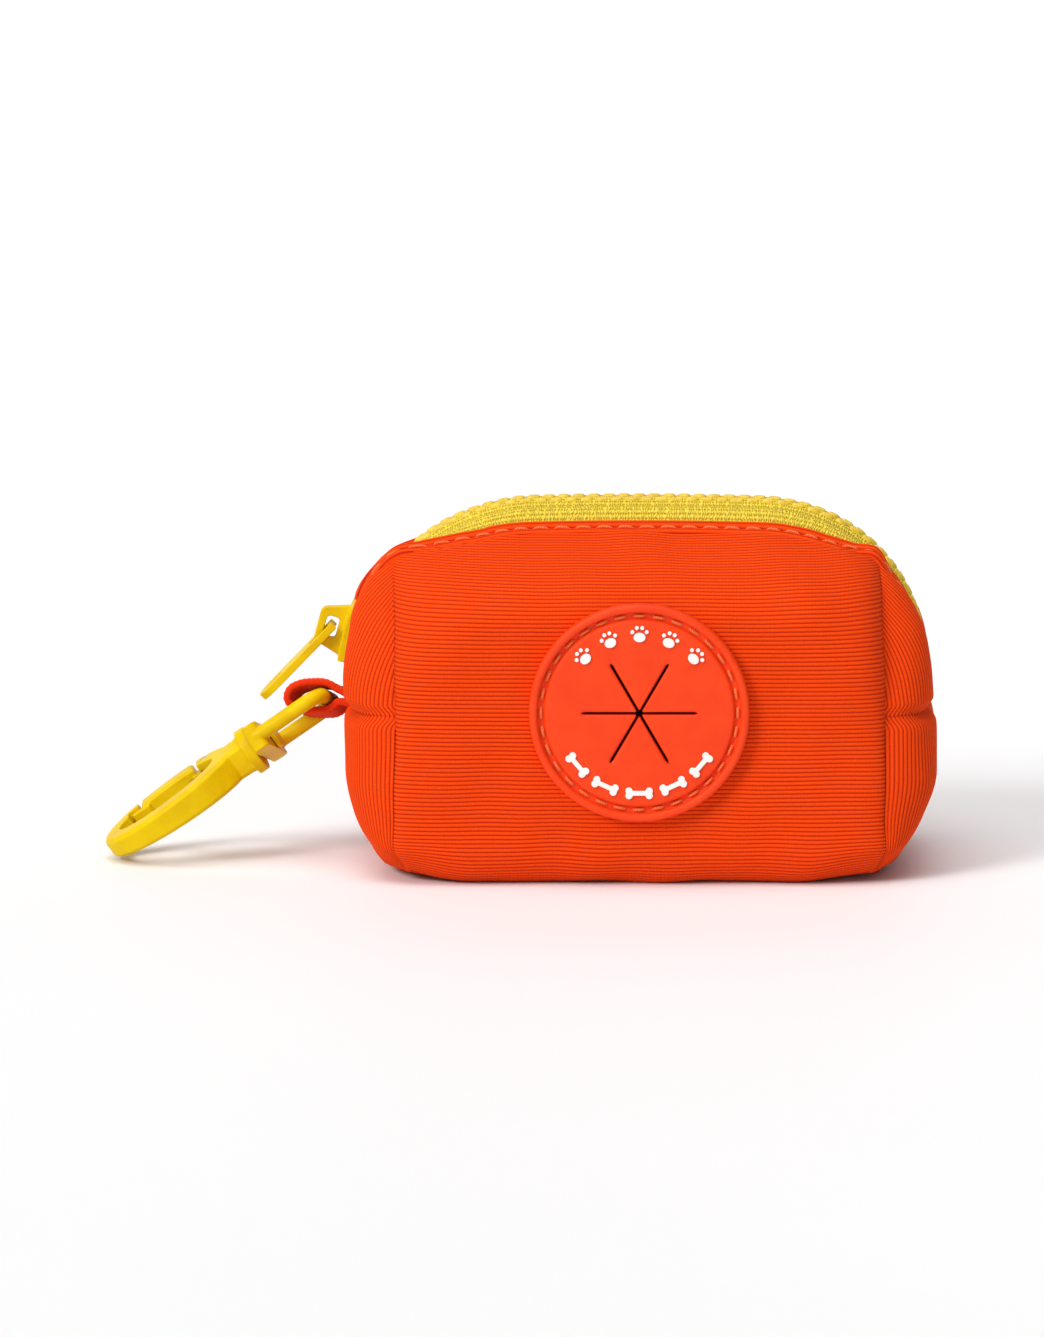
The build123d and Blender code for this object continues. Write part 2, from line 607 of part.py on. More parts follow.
# ---- badge -----------------------------------------------------------------------
with BuildPart() as badge:
    with BuildSketch(BADGE_PLANE):
        Circle(BADGE_R)
    extrude(amount=BADGE_BASE)
    with BuildSketch(BADGE_PLANE):
        Circle(BADGE_R)
        Circle(RIM_R, mode=Mode.SUBTRACT)
    extrude(amount=BADGE_RIM)
    with BuildSketch(BADGE_PLANE):
        Circle(DISC_R)
    extrude(amount=BADGE_DISC)
    with BuildSketch(BADGE_PLANE):
        RegularPolygon(FLAP_ROOT + FLAP_THICK / 2 + BEND_GAP, 6, major_radius=False)
    extrude(amount=BADGE_RIM, mode=Mode.SUBTRACT)
keep("badge", badge.part)

with BuildPart() as badge_stitching:
    with BuildSketch(BADGE_PLANE.offset(BADGE_BASE)):
        with PolarLocations(STITCH_R, BADGE_STITCHES):
            Rectangle(STITCH_WIDTH, STITCH_LENGTH)
    extrude(amount=THREAD)
keep("badge_stitching", badge_stitching.part)


# ---- the star's six flaps --------------------------------------------------------
for k in range(6):
    heading = 30 + 60 * k
    spoke = Plane(
        origin=BADGE_PLANE.origin,
        x_dir=(math.cos(math.radians(heading)), 0, math.sin(math.radians(heading))),
        z_dir=(0, -1, 0),
    )
    tip = SLIT_HALF / math.sin(math.radians(30))
    root_half = (FLAP_ROOT - tip) * math.tan(math.radians(30))
    with BuildPart() as flap:
        with BuildSketch(spoke.offset(FLAP_MIDDLE - FLAP_THICK / 2)):
            with BuildLine():
                Polyline((tip, 0), (FLAP_ROOT, root_half), (FLAP_ROOT, -root_half), close=True)
            make_face()
        extrude(amount=FLAP_THICK)
        # the rounded edge that the flap bends about
        bend_centre = spoke.from_local_coords((FLAP_ROOT, 0, FLAP_MIDDLE))
        with BuildSketch(Plane(origin=bend_centre, x_dir=spoke.x_dir, z_dir=spoke.y_dir)):
            Circle(FLAP_THICK / 2)
        extrude(amount=root_half, both=True)
    keep(f"star_flap_{k + 1}", flap.part)


# ---- raised motifs: paw prints above the star and bones below it -----------------
def motif_spots(middle, step):
    """Five places round the badge, each with its own top pointing outwards."""
    face = BADGE_PLANE.offset(BADGE_DISC)
    spots = []
    for i in (-2, -1, 0, 1, 2):
        heading = middle + step * i
        x = MOTIF_R * math.cos(math.radians(heading))
        y = MOTIF_R * math.sin(math.radians(heading))
        spots.append(face.location * Location((x, y, 0), (0, 0, heading - 90)))
    return spots


with BuildPart() as emblem_upper:
    for spot in motif_spots(90, PAW_STEP):
        with BuildSketch(Plane(spot)):
            with Locations((0, -PAD_DROP)):
                Ellipse(PAD_A, PAD_B)
            with Locations(*TOES):
                Circle(TOE_R)
        extrude(amount=MOTIF_THICK)
keep("emblem_upper", emblem_upper.part)

with BuildPart() as emblem_lower:
    for spot in motif_spots(270, BONE_STEP):
        with BuildSketch(Plane(spot)):
            Rectangle(BONE_LENGTH, BONE_WIDTH)
            with GridLocations(BONE_LENGTH, BONE_WIDTH, 2, 2):
                Circle(KNUCKLE_R)
        extrude(amount=MOTIF_THICK)
keep("emblem_lower", emblem_lower.part)


# ---- topstitching beside the zip -------------------------------------------------
def stitch_row(side):
    """Stitches that pass through the fabric, in a line a little way from the zip's slot."""
    edge_z = RIDGE_Z - SHOULDER_DROP
    slope = (edge_z - SHOULDER_Z) / (DEPTH_HALF - SLOT_HALF)
    flat_reach = edge_z - slope * (STITCH_Y - SLOT_HALF) - ARC_Z
    count = int((CHAIN_RUN - STITCH_START) / STITCH_PITCH)
    spots = []
    for i in range(count):
        spot = chain_spot(STITCH_START + i * STITCH_PITCH, side * STITCH_Y)
        rise = max(spot.z_dir.Z, 1e-6)
        reach = min(SHELL_R, flat_reach / rise)
        spots.append(spot.offset(reach - CHAIN_R))
    with BuildPart() as row:
        with Locations(*spots):
            Box(STITCH_PITCH - STITCH_GAP, THREAD, THREAD)
    return row.part


keep("zip_topstitch_front", stitch_row(-1))
keep("zip_topstitch_rear", stitch_row(1))
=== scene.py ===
import json
import math

import bpy
import numpy as np
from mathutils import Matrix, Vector

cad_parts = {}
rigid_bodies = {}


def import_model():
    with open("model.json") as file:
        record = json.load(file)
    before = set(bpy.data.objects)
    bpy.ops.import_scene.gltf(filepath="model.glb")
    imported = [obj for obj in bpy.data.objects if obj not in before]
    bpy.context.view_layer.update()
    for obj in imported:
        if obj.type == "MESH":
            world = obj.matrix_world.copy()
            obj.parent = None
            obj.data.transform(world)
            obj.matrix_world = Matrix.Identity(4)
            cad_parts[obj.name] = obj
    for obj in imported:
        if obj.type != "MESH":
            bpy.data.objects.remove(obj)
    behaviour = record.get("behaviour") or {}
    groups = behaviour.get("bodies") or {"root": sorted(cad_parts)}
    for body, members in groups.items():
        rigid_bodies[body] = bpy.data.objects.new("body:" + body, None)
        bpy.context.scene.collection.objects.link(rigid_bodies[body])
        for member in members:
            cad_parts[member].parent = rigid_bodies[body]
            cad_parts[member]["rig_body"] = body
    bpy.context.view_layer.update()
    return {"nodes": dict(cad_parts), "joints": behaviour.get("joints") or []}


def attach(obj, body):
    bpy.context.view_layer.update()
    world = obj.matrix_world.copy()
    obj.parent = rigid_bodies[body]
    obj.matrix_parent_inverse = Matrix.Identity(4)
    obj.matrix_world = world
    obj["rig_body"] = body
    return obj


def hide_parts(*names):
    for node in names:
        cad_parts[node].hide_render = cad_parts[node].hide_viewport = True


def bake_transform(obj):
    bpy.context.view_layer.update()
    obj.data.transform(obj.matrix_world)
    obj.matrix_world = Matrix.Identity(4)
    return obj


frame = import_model()
joints = {joint["name"]: joint for joint in frame["joints"]}

# Lengths are in millimetres, in the CAD frame, and become metres when a mesh is made.
MM = 0.001

# ---- the pouch's form ---------------------------------------------------------------
# q is the distance from the middle plane of the pouch, towards the front or the rear.
END_SEAM_Z = 28.4           # level seam across each end
EDGE_Q = 6.7                # fabric edge beside the zip
FRONT_Q = 24.5              # the flat front and rear faces
HEM_R = 6.0                 # roll from the base up into the front
SHOULDER_Z = 44.0           # the front starts to lean back towards the zip here
CORNER_Z = 54.8             # the boxing seams run into the fabric edge here
# the boxing seams: their height, distance from the middle plane and reach left and right
SEAM_Z = (0.0, 6.0, 12.0, 30.0, 40.0, 48.0, 52.0, CORNER_Z)
SEAM_Q = (19.0, 22.6, 22.7, 20.5, 18.0, 13.5, 10.0, EDGE_Q)
SEAM_LEFT = (39.4, 41.3, 40.9, 40.9, 41.1, 41.3, 41.3, 41.2)
SEAM_RIGHT = (39.8, 41.7, 41.3, 41.1, 41.1, 41.0, 40.8, 40.4)
# the lower end flaps on the middle plane, from the base up to the end seam
LOWER_Z = (0.0, 1.2, 5.0, 11.0, 18.0, 25.0, END_SEAM_Z)
LOWER_LEFT = (40.0, 43.0, 45.5, 48.1, 49.5, 49.4, 48.9)
LOWER_RIGHT = (40.6, 43.4, 45.8, 48.5, 50.5, 50.3, 49.6)
RIB_PITCH = 0.72
KNIT_PITCH = 0.62           # the fine loops along a rib
RIB_HEIGHT = 0.13           # groove to crest
SAMPLES = 4                 # rows of vertices to a rib
FABRIC = 1.0                # thickness of the padded fabric
BADGE_Z = 30.0              # height of the badge's centre
HOLE_R = 11.2               # the fabric is open behind the badge's star

# ---- zip ------------------------------------------------------------------------------
LEFT_X, LEFT_Z, LEFT_R = -17.6, 30.8, 30.3      # corner arcs of the zip's line
RIGHT_X, RIGHT_Z, RIGHT_R = 21.0, 34.0, 27.1
CROWN, CROWN_HALF = 0.5, 26.0                   # the top rises this much over this half width
TOOTH_PITCH = 2.55
FIRST_TOOTH = 8.0
FLANGE_Q = 4.45             # the slider's flanges end just short of this distance from the middle plane
WEAVE_PITCH = 0.95          # the tape's coarse weave
STITCH_PITCH = 3.6
FIRST_STITCH = 2.6
STITCH_A = 1.6              # stitches lie this far from the fabric edge
HEM_SINK = 0.65             # the panels sink this far under the hem
# how far the fabric edge stands out from the zip's line, by the line's lean from upright
EDGE_LEAN = (-90, -73, -64, -56, -49, -44.5, -37, -28, -18, 0, 23, 35, 43, 52, 65, 75, 90)
EDGE_RISE = (
    1.1, 1.8, 2.8, 3.4, 3.6, 3.4, 1.3, -0.5, -1.65, -2.1, -1.7, -0.55, 1.3, 0.4, 0.5, 1.0, 1.1,
)
# the hem's section: distance from the fabric edge, and height above the cloth; the first points are
# the layer folded under, and the last ones tuck under the panel's surface
HEM_PROFILE = (
    (1.6, -0.9), (0.4, -0.9), (0.05, -0.7), (-0.12, -0.3), (-0.05, 0.1), (0.2, 0.33), (0.6, 0.38),
    (0.95, 0.30), (1.15, 0.2), (1.4, 0.02), (1.6, -0.06), (1.85, 0.1), (2.1, 0.2), (2.5, 0.12),
    (2.85, -0.1), (3.1, -0.6), (3.2, -1.2), (3.2, -2.0),
)
STITCH_DIMPLE = 0.22        # each stitch pulls the hem in this much
REAR_DROP = 2.2             # the rear corners sit this much lower
BASE_LIFT = 1.7             # the base's corners are rounded up by this much
SEAM_PINCH = 1.3            # the cloth draws in this much at the end seams
SWELL_POWER = 5.5           # how squarely the lower ends swell between their corners


def smooth(t):
    """A smooth step from 0 to 1."""
    t = np.clip(t, 0.0, 1.0)
    return t * t * (3.0 - 2.0 * t)


def curve(where, knots, values):
    """A smooth curve through chosen points, with no overshoot between them."""
    where = np.asarray(where, float)
    knots, values = np.asarray(knots, float), np.asarray(values, float)
    step = np.diff(knots)
    slope = np.diff(values) / step
    both = slope[:-1] * slope[1:]
    total = np.where(both > 0, slope[:-1] + slope[1:], 1.0)
    tangent = np.hstack([slope[0], np.where(both > 0, 2 * both / total, 0.0), slope[-1]])
    i = np.clip(np.searchsorted(knots, where) - 1, 0, len(step) - 1)
    t = np.clip((where - knots[i]) / step[i], 0, 1)
    start = (1 + 2 * t) * (1 - t) ** 2 * values[i] + t * (1 - t) ** 2 * step[i] * tangent[i]
    return start + t * t * (3 - 2 * t) * values[i + 1] + t * t * (t - 1) * step[i] * tangent[i + 1]


def distance_along(*lines):
    """Distance from its start along a line given by its coordinates."""
    return np.hstack([0, np.cumsum(np.sqrt(sum(np.diff(line) ** 2 for line in lines)))])


# ---- meshes ---------------------------------------------------------------------------
def new_piece(name, vertices, faces, uv=None):
    """A mesh object from millimetre vertices, with an optional UV pair for each vertex."""
    mesh = bpy.data.meshes.new(name)
    mesh.from_pydata((np.asarray(vertices, float) * MM).tolist(), [], [list(map(int, f)) for f in faces])
    if uv is not None:
        layer = mesh.uv_layers.new(name="cloth")
        loops = np.empty(len(mesh.loops), int)
        mesh.loops.foreach_get("vertex_index", loops)
        layer.data.foreach_set("uv", np.asarray(uv, np.float32)[loops].reshape(-1))
    mesh.polygons.foreach_set("use_smooth", [True] * len(mesh.polygons))
    mesh.update()
    piece = bpy.data.objects.new(name, mesh)
    bpy.context.scene.collection.objects.link(piece)
    return piece


def grid_faces(rows, columns, around=False, keep=None):
    """Quads over a rows by columns lattice, closed around the columns if asked."""
    index = np.arange(rows * columns).reshape(rows, columns)
    if around:
        index = np.hstack([index, index[:, :1]])
    quads = np.stack([index[:-1, :-1], index[:-1, 1:], index[1:, 1:], index[1:, :-1]], -1)
    if keep is not None:
        return quads[keep]
    return quads.reshape(-1, 4)


def normals_of(points):
    """Unit normals of a lattice of points, across its rows and along its columns."""
    along = np.gradient(points, axis=1)
    across = np.gradient(points, axis=0)
    normal = np.cross(along, across)
    return normal / np.maximum(np.linalg.norm(normal, axis=-1, keepdims=True), 1e-9)


def modified(piece):
    """Apply a piece's modifiers for good."""
    graph = bpy.context.evaluated_depsgraph_get()
    mesh = bpy.data.meshes.new_from_object(piece.evaluated_get(graph))
    piece.modifiers.clear()
    piece.data = mesh
    return piece


def thicken(piece, thickness):
    """Give a sheet its thickness, on the inner side."""
    solid = piece.modifiers.new("thickness", "SOLIDIFY")
    solid.thickness = thickness * MM
    solid.offset = -1.0
    return modified(piece)


# ---- materials ------------------------------------------------------------------------
class Shader:
    """A material's node tree, with short calls for the nodes that the recipes share."""

    def __init__(self, name, roughness, **sockets):
        self.material = bpy.data.materials.new(name)
        self.material.use_nodes = True
        self.tree = self.material.node_tree
        self.tree.nodes.clear()
        self.principled = self.node("ShaderNodeBsdfPrincipled")
        output = self.node("ShaderNodeOutputMaterial")
        self.join(self.principled.outputs[0], output.inputs[0])
        self.principled.inputs["Roughness"].default_value = roughness
        for socket, value in sockets.items():
            self.principled.inputs[socket.replace("_", " ")].default_value = value

    def node(self, kind, **settings):
        made = self.tree.nodes.new(kind)
        for key, value in settings.items():
            setattr(made, key, value)
        return made

    def join(self, output, socket):
        self.tree.links.new(output, socket)

    def math(self, operation, first, second=None, third=None):
        made = self.node("ShaderNodeMath", operation=operation)
        for i, value in enumerate((first, second, third)):
            if value is None:
                continue
            if isinstance(value, (int, float)):
                made.inputs[i].default_value = value
            else:
                self.join(value, made.inputs[i])
        return made.outputs[0]

    def place(self):
        """Object-space position, in millimetres."""
        coordinates = self.node("ShaderNodeTexCoord")
        scale = self.node("ShaderNodeVectorMath", operation="SCALE")
        scale.inputs["Scale"].default_value = 1.0 / MM
        self.join(coordinates.outputs["Object"], scale.inputs[0])
        return scale.outputs[0]

    def cloth(self):
        """The two cloth coordinates, along and across the ribs, in millimetres."""
        uv = self.node("ShaderNodeUVMap", uv_map="cloth")
        split = self.node("ShaderNodeSeparateXYZ")
        self.join(uv.outputs[0], split.inputs[0])
        return split.outputs[0], split.outputs[1]

    def noise(self, where, scale, detail=2.0):
        made = self.node("ShaderNodeTexNoise")
        made.inputs["Scale"].default_value = scale
        made.inputs["Detail"].default_value = detail
        self.join(where, made.inputs["Vector"])
        return made.outputs["Fac"]

    def ramp(self, factor, *stops):
        made = self.node("ShaderNodeValToRGB")
        ramp = made.color_ramp
        while len(ramp.elements) < len(stops):
            ramp.elements.new(0.5)
        for element, (position, color) in zip(ramp.elements, stops):
            element.position = position
            element.color = (*color, 1.0)
        self.join(factor, made.inputs[0])
        return made.outputs["Color"]

    def mix(self, factor, first, second, blend="MIX"):
        made = self.node("ShaderNodeMix", data_type="RGBA", blend_type=blend)
        if isinstance(factor, float):
            made.inputs[0].default_value = factor
        else:
            self.join(factor, made.inputs[0])
        for socket, value in ((made.inputs[6], first), (made.inputs[7], second)):
            if isinstance(value, tuple):
                socket.default_value = (*value, 1.0)
            else:
                self.join(value, socket)
        return made.outputs[2]

    def color(self, source):
        self.join(source, self.principled.inputs["Base Color"])

    def bump(self, height, distance, strength=1.0, under=None):
        made = self.node("ShaderNodeBump")
        made.inputs["Strength"].default_value = strength
        made.inputs["Distance"].default_value = distance * MM
        self.join(height, made.inputs["Height"])
        if under is not None:
            self.join(under, made.inputs["Normal"])
        self.join(made.outputs[0], self.principled.inputs["Normal"])
        return made.outputs[0]

    def roughness(self, factor, low, high):
        made = self.node("ShaderNodeMapRange")
        made.inputs["To Min"].default_value = low
        made.inputs["To Max"].default_value = high
        self.join(factor, made.inputs["Value"])
        self.join(made.outputs[0], self.principled.inputs["Roughness"])


def ribbed_fabric(name, groove_shade, middle, light):
    """Ribbed knit: painted shade in the grooves and a painted highlight on the crests, fine loops along each
    rib and a faint fuzz.
    """
    shader = Shader(name, 0.85, Sheen_Weight=0.08, Sheen_Roughness=0.5, Specular_IOR_Level=0.12)
    shader.principled.inputs["Sheen Tint"].default_value = (1.0, 0.35, 0.08, 1.0)
    along, across = shader.cloth()
    place = shader.place()
    phase = shader.math("MULTIPLY", across, math.pi / RIB_PITCH)
    crest = shader.math("ABSOLUTE", shader.math("SINE", phase))
    loops = shader.math("SINE", shader.math("MULTIPLY", along, 2 * math.pi / KNIT_PITCH))
    loops = shader.math("MULTIPLY_ADD", loops, 0.5, 0.5)
    fuzz = shader.noise(place, 5.0, 4.0)
    # painted shade in the grooves and a painted highlight on the crests, set by the rib's height
    tone = shader.ramp(crest, (0.08, groove_shade), (0.5, middle), (1.0, light))
    patch = shader.noise(place, 0.09, 3.0)
    tone = shader.mix(shader.math("MULTIPLY", patch, 0.35), tone, middle)
    speck = shader.ramp(fuzz, (0.3, (0.78, 0.78, 0.78)), (0.62, (1.0, 1.0, 1.0)))
    tone = shader.mix(0.5, tone, speck, "MULTIPLY")
    shader.color(tone)
    height = shader.math("MULTIPLY_ADD", loops, 0.35, shader.math("MULTIPLY", fuzz, 0.9))
    shader.bump(height, 0.12, 0.55)
    return shader.material


def woven_tape(name):
    """Zip tape: rows of coarse knots, staggered, with painted shade in the gaps between them and a painted
    highlight on their tops.
    """
    shader = Shader(name, 0.8, Specular_IOR_Level=0.2)
    along, across = shader.cloth()
    place = shader.place()
    fuzz = shader.noise(place, 2.4, 2.0)
    wander = shader.math("MULTIPLY_ADD", shader.noise(place, 0.9, 2.0), 1.6, along)
    rows = []
    for slant in ("ADD", "SUBTRACT"):
        place_across = shader.math(slant, wander, across)
        rows.append(shader.math("SINE", shader.math("MULTIPLY", place_across, 2 * math.pi / WEAVE_PITCH)))
    knots = shader.math("MULTIPLY_ADD", shader.math("MULTIPLY", *rows), 0.5, 0.5)
    dark, middle, light = (0.46, 0.27, 0.006), (0.82, 0.59, 0.035), (0.93, 0.74, 0.11)
    # painted shade in the gaps between the knots and a painted highlight on their tops
    tone = shader.ramp(knots, (0.08, dark), (0.38, middle), (0.9, light))
    tone = shader.mix(shader.math("MULTIPLY", fuzz, 0.15), tone, (0.78, 0.54, 0.03))
    shader.color(tone)
    shader.bump(shader.math("MULTIPLY_ADD", fuzz, 0.4, knots), 0.30, 0.9)
    return shader.material


def painted_metal(name, base, worn):
    """Satin paint on cast zinc: a faint orange peel, and paint a little thinner in places."""
    shader = Shader(name, 0.4, Coat_Weight=0.02, Coat_Roughness=0.2, Specular_IOR_Level=0.07)
    place = shader.place()
    cloud = shader.noise(place, 0.25, 4.0)
    peel = shader.noise(place, 1.6, 2.0)
    fine = shader.noise(place, 7.0, 3.0)
    tone = shader.ramp(cloud, (0.32, worn), (0.6, base))
    shader.color(tone)
    shader.roughness(cloud, 0.34, 0.5)
    height = shader.math("MULTIPLY_ADD", fine, 0.25, peel)
    shader.bump(height, 0.05, 0.35)
    return shader.material


def moulded_plastic(name, dark, base, roughness):
    shader = Shader(name, roughness, Specular_IOR_Level=0.45)
    place = shader.place()
    cloud = shader.noise(place, 0.9, 3.0)
    fine = shader.noise(place, 9.0, 2.0)
    shader.color(shader.ramp(cloud, (0.3, dark), (0.65, base)))
    shader.roughness(fine, roughness - 0.08, roughness + 0.12)
    shader.bump(fine, 0.03, 0.4)
    return shader.material


def silicone(name, dark, base):
    """Moulded silicone: soft satin, a little light inside, and a fine mould texture."""
    shader = Shader(name, 0.5, Subsurface_Weight=0.1, Subsurface_Scale=0.0006, Specular_IOR_Level=0.25)
    place = shader.place()
    cloud = shader.noise(place, 0.22, 3.0)
    fine = shader.noise(place, 6.5, 3.0)
    shader.color(shader.ramp(cloud, (0.3, dark), (0.7, base)))
    shader.roughness(fine, 0.42, 0.62)
    shader.bump(fine, 0.035, 0.45)
    return shader.material


def sewing_thread(name, dark, base):
    """Twisted thread: slanting plies along its length, with painted shade between the plies."""
    shader = Shader(name, 0.6, Sheen_Weight=0.2)
    along, across = shader.cloth()
    place = shader.place()
    slant = shader.math("MULTIPLY_ADD", across, 0.5, along)
    plies = shader.math("SINE", shader.math("MULTIPLY", slant, 2 * math.pi / 0.42))
    plies = shader.math("MULTIPLY_ADD", plies, 0.5, 0.5)
    fuzz = shader.noise(place, 8.0, 2.0)
    # painted shade between the plies
    shader.color(shader.ramp(plies, (0.0, dark), (0.7, base)))
    shader.bump(shader.math("MULTIPLY_ADD", fuzz, 0.3, plies), 0.06, 0.7)
    return shader.material


def plain_steel(name):
    shader = Shader(name, 0.32, Metallic=1.0)
    place = shader.place()
    grain = shader.noise(place, 3.0, 4.0)
    shader.color(shader.ramp(grain, (0.3, (0.42, 0.42, 0.41)), (0.7, (0.66, 0.65, 0.63))))
    shader.roughness(grain, 0.25, 0.45)
    shader.bump(grain, 0.02, 0.3)
    return shader.material


def pale_floor(name):
    shader = Shader(name, 0.6, Specular_IOR_Level=0.2)
    place = shader.place()
    cloud = shader.noise(place, 0.004, 2.0)
    shader.color(shader.ramp(cloud, (0.3, (0.86, 0.86, 0.86)), (0.7, (0.88, 0.88, 0.88))))
    return shader.material


# each fabric's first colour is painted shade for the rib grooves, and its last a painted highlight for the
# rib crests
SHELL = ribbed_fabric("shell_fabric", (0.40, 0.007, 0.0003), (0.77, 0.042, 0.001), (0.90, 0.075, 0.002))
LOOP_FABRIC = ribbed_fabric("loop_fabric", (0.42, 0.006, 0.001), (0.74, 0.03, 0.003), (0.86, 0.06, 0.006))
TAPE = woven_tape("zip_tape")
PAINT = painted_metal("yellow_paint", (0.76, 0.52, 0.002), (0.68, 0.44, 0.001))
TEETH = moulded_plastic("zip_teeth", (0.66, 0.42, 0.01), (0.84, 0.60, 0.04), 0.4)
SILICONE = silicone("badge_silicone", (0.84, 0.045, 0.002), (0.90, 0.058, 0.004))
MOTIF = silicone("motif_silicone", (0.82, 0.80, 0.76), (0.92, 0.91, 0.88))
# the thread's first colour is painted shade between its plies
THREAD = sewing_thread("thread", (0.74, 0.075, 0.008), (0.90, 0.19, 0.03))
STEEL = plain_steel("steel")


def finish_piece(piece, material, body, slot_name, *replaced):
    """Give a piece its material and its body, and hide the CAD nodes that it stands for; its slot name is not
    used.
    """
    piece.data.materials.clear()
    piece.data.materials.append(material)
    if body:
        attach(piece, body)
    if replaced:
        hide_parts(*replaced)
    return piece


# ---- lines of the pouch ------------------------------------------------------------------
class ZipLine:
    """The zip's line in XZ, from the left end seam over the top to the right one."""

    def __init__(self):
        left, right = np.radians(np.linspace(-90, 0, 200)), np.radians(np.linspace(0, 90, 200))
        x = np.hstack([LEFT_X + LEFT_R * np.sin(left), RIGHT_X + RIGHT_R * np.sin(right)])
        z = np.hstack([LEFT_Z + LEFT_R * np.cos(left), RIGHT_Z + RIGHT_R * np.cos(right)])
        x, z = np.hstack([x[0], x, x[-1]]), np.hstack([END_SEAM_Z, z, END_SEAM_Z])
        run = distance_along(x, z)
        even = np.linspace(0, run[-1], 900)
        self.x, self.z = np.interp(even, run, x), np.interp(even, run, z)
        crown = CROWN * (1 - (self.x / CROWN_HALF) ** 2)
        self.z = self.z + np.where((np.abs(self.x) < CROWN_HALF) & (self.z > 50), crown, 0)
        self.run = distance_along(self.x, self.z)
        along_x, along_z = np.gradient(self.x), np.gradient(self.z)
        size = np.hypot(along_x, along_z)
        self.out_x, self.out_z = -along_z / size, along_x / size
        self.lean = np.degrees(np.arctan2(self.out_x, self.out_z))
        self.rise = curve(self.lean, EDGE_LEAN, EDGE_RISE)
        # the fabric edge, and its highest point
        self.edge_x, self.edge_z = self.x + self.rise * self.out_x, self.z + self.rise * self.out_z
        self.crest = int(np.argmax(self.edge_z))

    def at(self, distance, offset=0.0):
        """Points and outward normals at distances along the line, moved out by an offset."""
        lines = (self.x, self.z, self.out_x, self.out_z)
        x, z, out_x, out_z = (np.interp(distance, self.run, line) for line in lines)
        return x + offset * out_x, z + offset * out_z, out_x, out_z

    def edge_reach(self, z, end):
        """How far out the fabric edge is at a height, at the left or right end."""
        if end < 0:
            return -np.interp(z, self.edge_z[: self.crest], self.edge_x[: self.crest])
        return np.interp(z, self.edge_z[: self.crest : -1], self.edge_x[: self.crest : -1])


ZIP = ZipLine()


def seam(z, end):
    """Distance from the middle plane and reach of a boxing seam at a height."""
    return curve(z, SEAM_Z, SEAM_Q), curve(z, SEAM_Z, SEAM_LEFT if end < 0 else SEAM_RIGHT)


def hand_made(points):
    """Small, slow unevenness of a sewn and stuffed form, the same wherever panels meet."""
    x, y, z = points[..., 0], points[..., 1], points[..., 2]
    waves = (
        0.16 * np.sin(0.21 * x + 0.13 * z + 1.1)
        + 0.12 * np.sin(0.34 * x - 0.27 * z + 0.4 * y + 2.3)
        + 0.10 * np.sin(0.17 * y + 0.31 * z + 0.5)
        + 0.07 * np.sin(0.52 * x + 0.2 * y + 4.0)
    )
    badge = np.hypot(x, z - BADGE_Z)
    return waves * smooth((badge - 17.0) / 9.0)


def settle(points):
    """The rear corners sit lower than the front ones, and the base's corners are rounded up."""
    x, y, z = points[..., 0], points[..., 1], points[..., 2]
    corner = np.exp(-(((np.abs(x) - 41.5) / 6.5) ** 2)) * smooth((z - 43.0) / 9.0)
    # beyond the slider's flanges, so that the zip's own path stays level from side to side
    drop = REAR_DROP * corner * smooth((y - FLANGE_Q) / 2.2)
    low = 1 - smooth(z / 9.0)
    lift = BASE_LIFT * smooth((np.abs(x) - 27.0) / 14.0) * low * smooth((np.abs(y) - 8.0) / 12.0)
    settled = points.copy()
    settled[..., 2] = z - drop + lift
    return settled


def rib_height(across):
    """Height of the ribs at a distance across them, from groove to groove."""
    return RIB_HEIGHT * (np.abs(np.sin(math.pi * across / RIB_PITCH)) ** 0.7 - 0.5)


def whole_ribs(run):
    """Rows for a stretch across the ribs: places along it, and rib distance at each."""
    ribs = max(2, round(run / RIB_PITCH))
    return np.linspace(0, run, ribs * SAMPLES + 1), np.linspace(0, ribs * RIB_PITCH, ribs * SAMPLES + 1)


def panel(name, points, along, across, sink=None, keep=None):
    """A panel of ribbed fabric over a lattice, with its ribs raised and its thickness added."""
    sink = np.zeros(points.shape[:2]) if sink is None else sink
    normal = normals_of(points)
    centre = np.array([0.0, 0.0, END_SEAM_Z])
    if np.sum(normal * (points - centre)) < 0:
        points, along, across = points[:, ::-1], along[:, ::-1], across[:, ::-1]
        normal, sink = -normal[:, ::-1], sink[:, ::-1]
        keep = None if keep is None else keep[:, ::-1]
    # the unevenness goes out from the middle, so that neighbouring panels stay together
    outward = points - centre
    outward = outward / np.linalg.norm(outward, axis=-1, keepdims=True)
    points = points + normal * (rib_height(across) - sink)[..., None] + outward * hand_made(points)[..., None]
    points = settle(points)
    points[..., 2] = np.maximum(points[..., 2], 0.0)
    rows, columns = points.shape[:2]
    uv = np.stack([along, across], -1).reshape(-1, 2)
    piece = new_piece(name, points.reshape(-1, 3), grid_faces(rows, columns, keep=keep), uv)
    finish_piece(thicken(piece, FABRIC), SHELL, "pouch", "shell_fabric", "shell")
    return piece


def centre_section():
    """The front's section on the middle plane: hem roll, upright face, and a lean back to the zip."""
    turn = np.linspace(-math.pi / 2, 0, 40)
    t = np.linspace(0, 1, 120)
    top = ZIP.edge_z[ZIP.crest] - 0.03
    ends = ((FRONT_Q, SHOULDER_Z), (FRONT_Q, SHOULDER_Z + 7.0), (16.5, top - 6.0), (EDGE_Q, top))
    weights = ((1 - t) ** 3, 3 * t * (1 - t) ** 2, 3 * t * t * (1 - t), t**3)
    lean_q, lean_z = (sum(w * end[i] for w, end in zip(weights, ends)) for i in (0, 1))
    q = np.hstack([FRONT_Q - HEM_R + HEM_R * np.cos(turn), lean_q])
    z = np.hstack([HEM_R + HEM_R * np.sin(turn), lean_z])
    return q, z


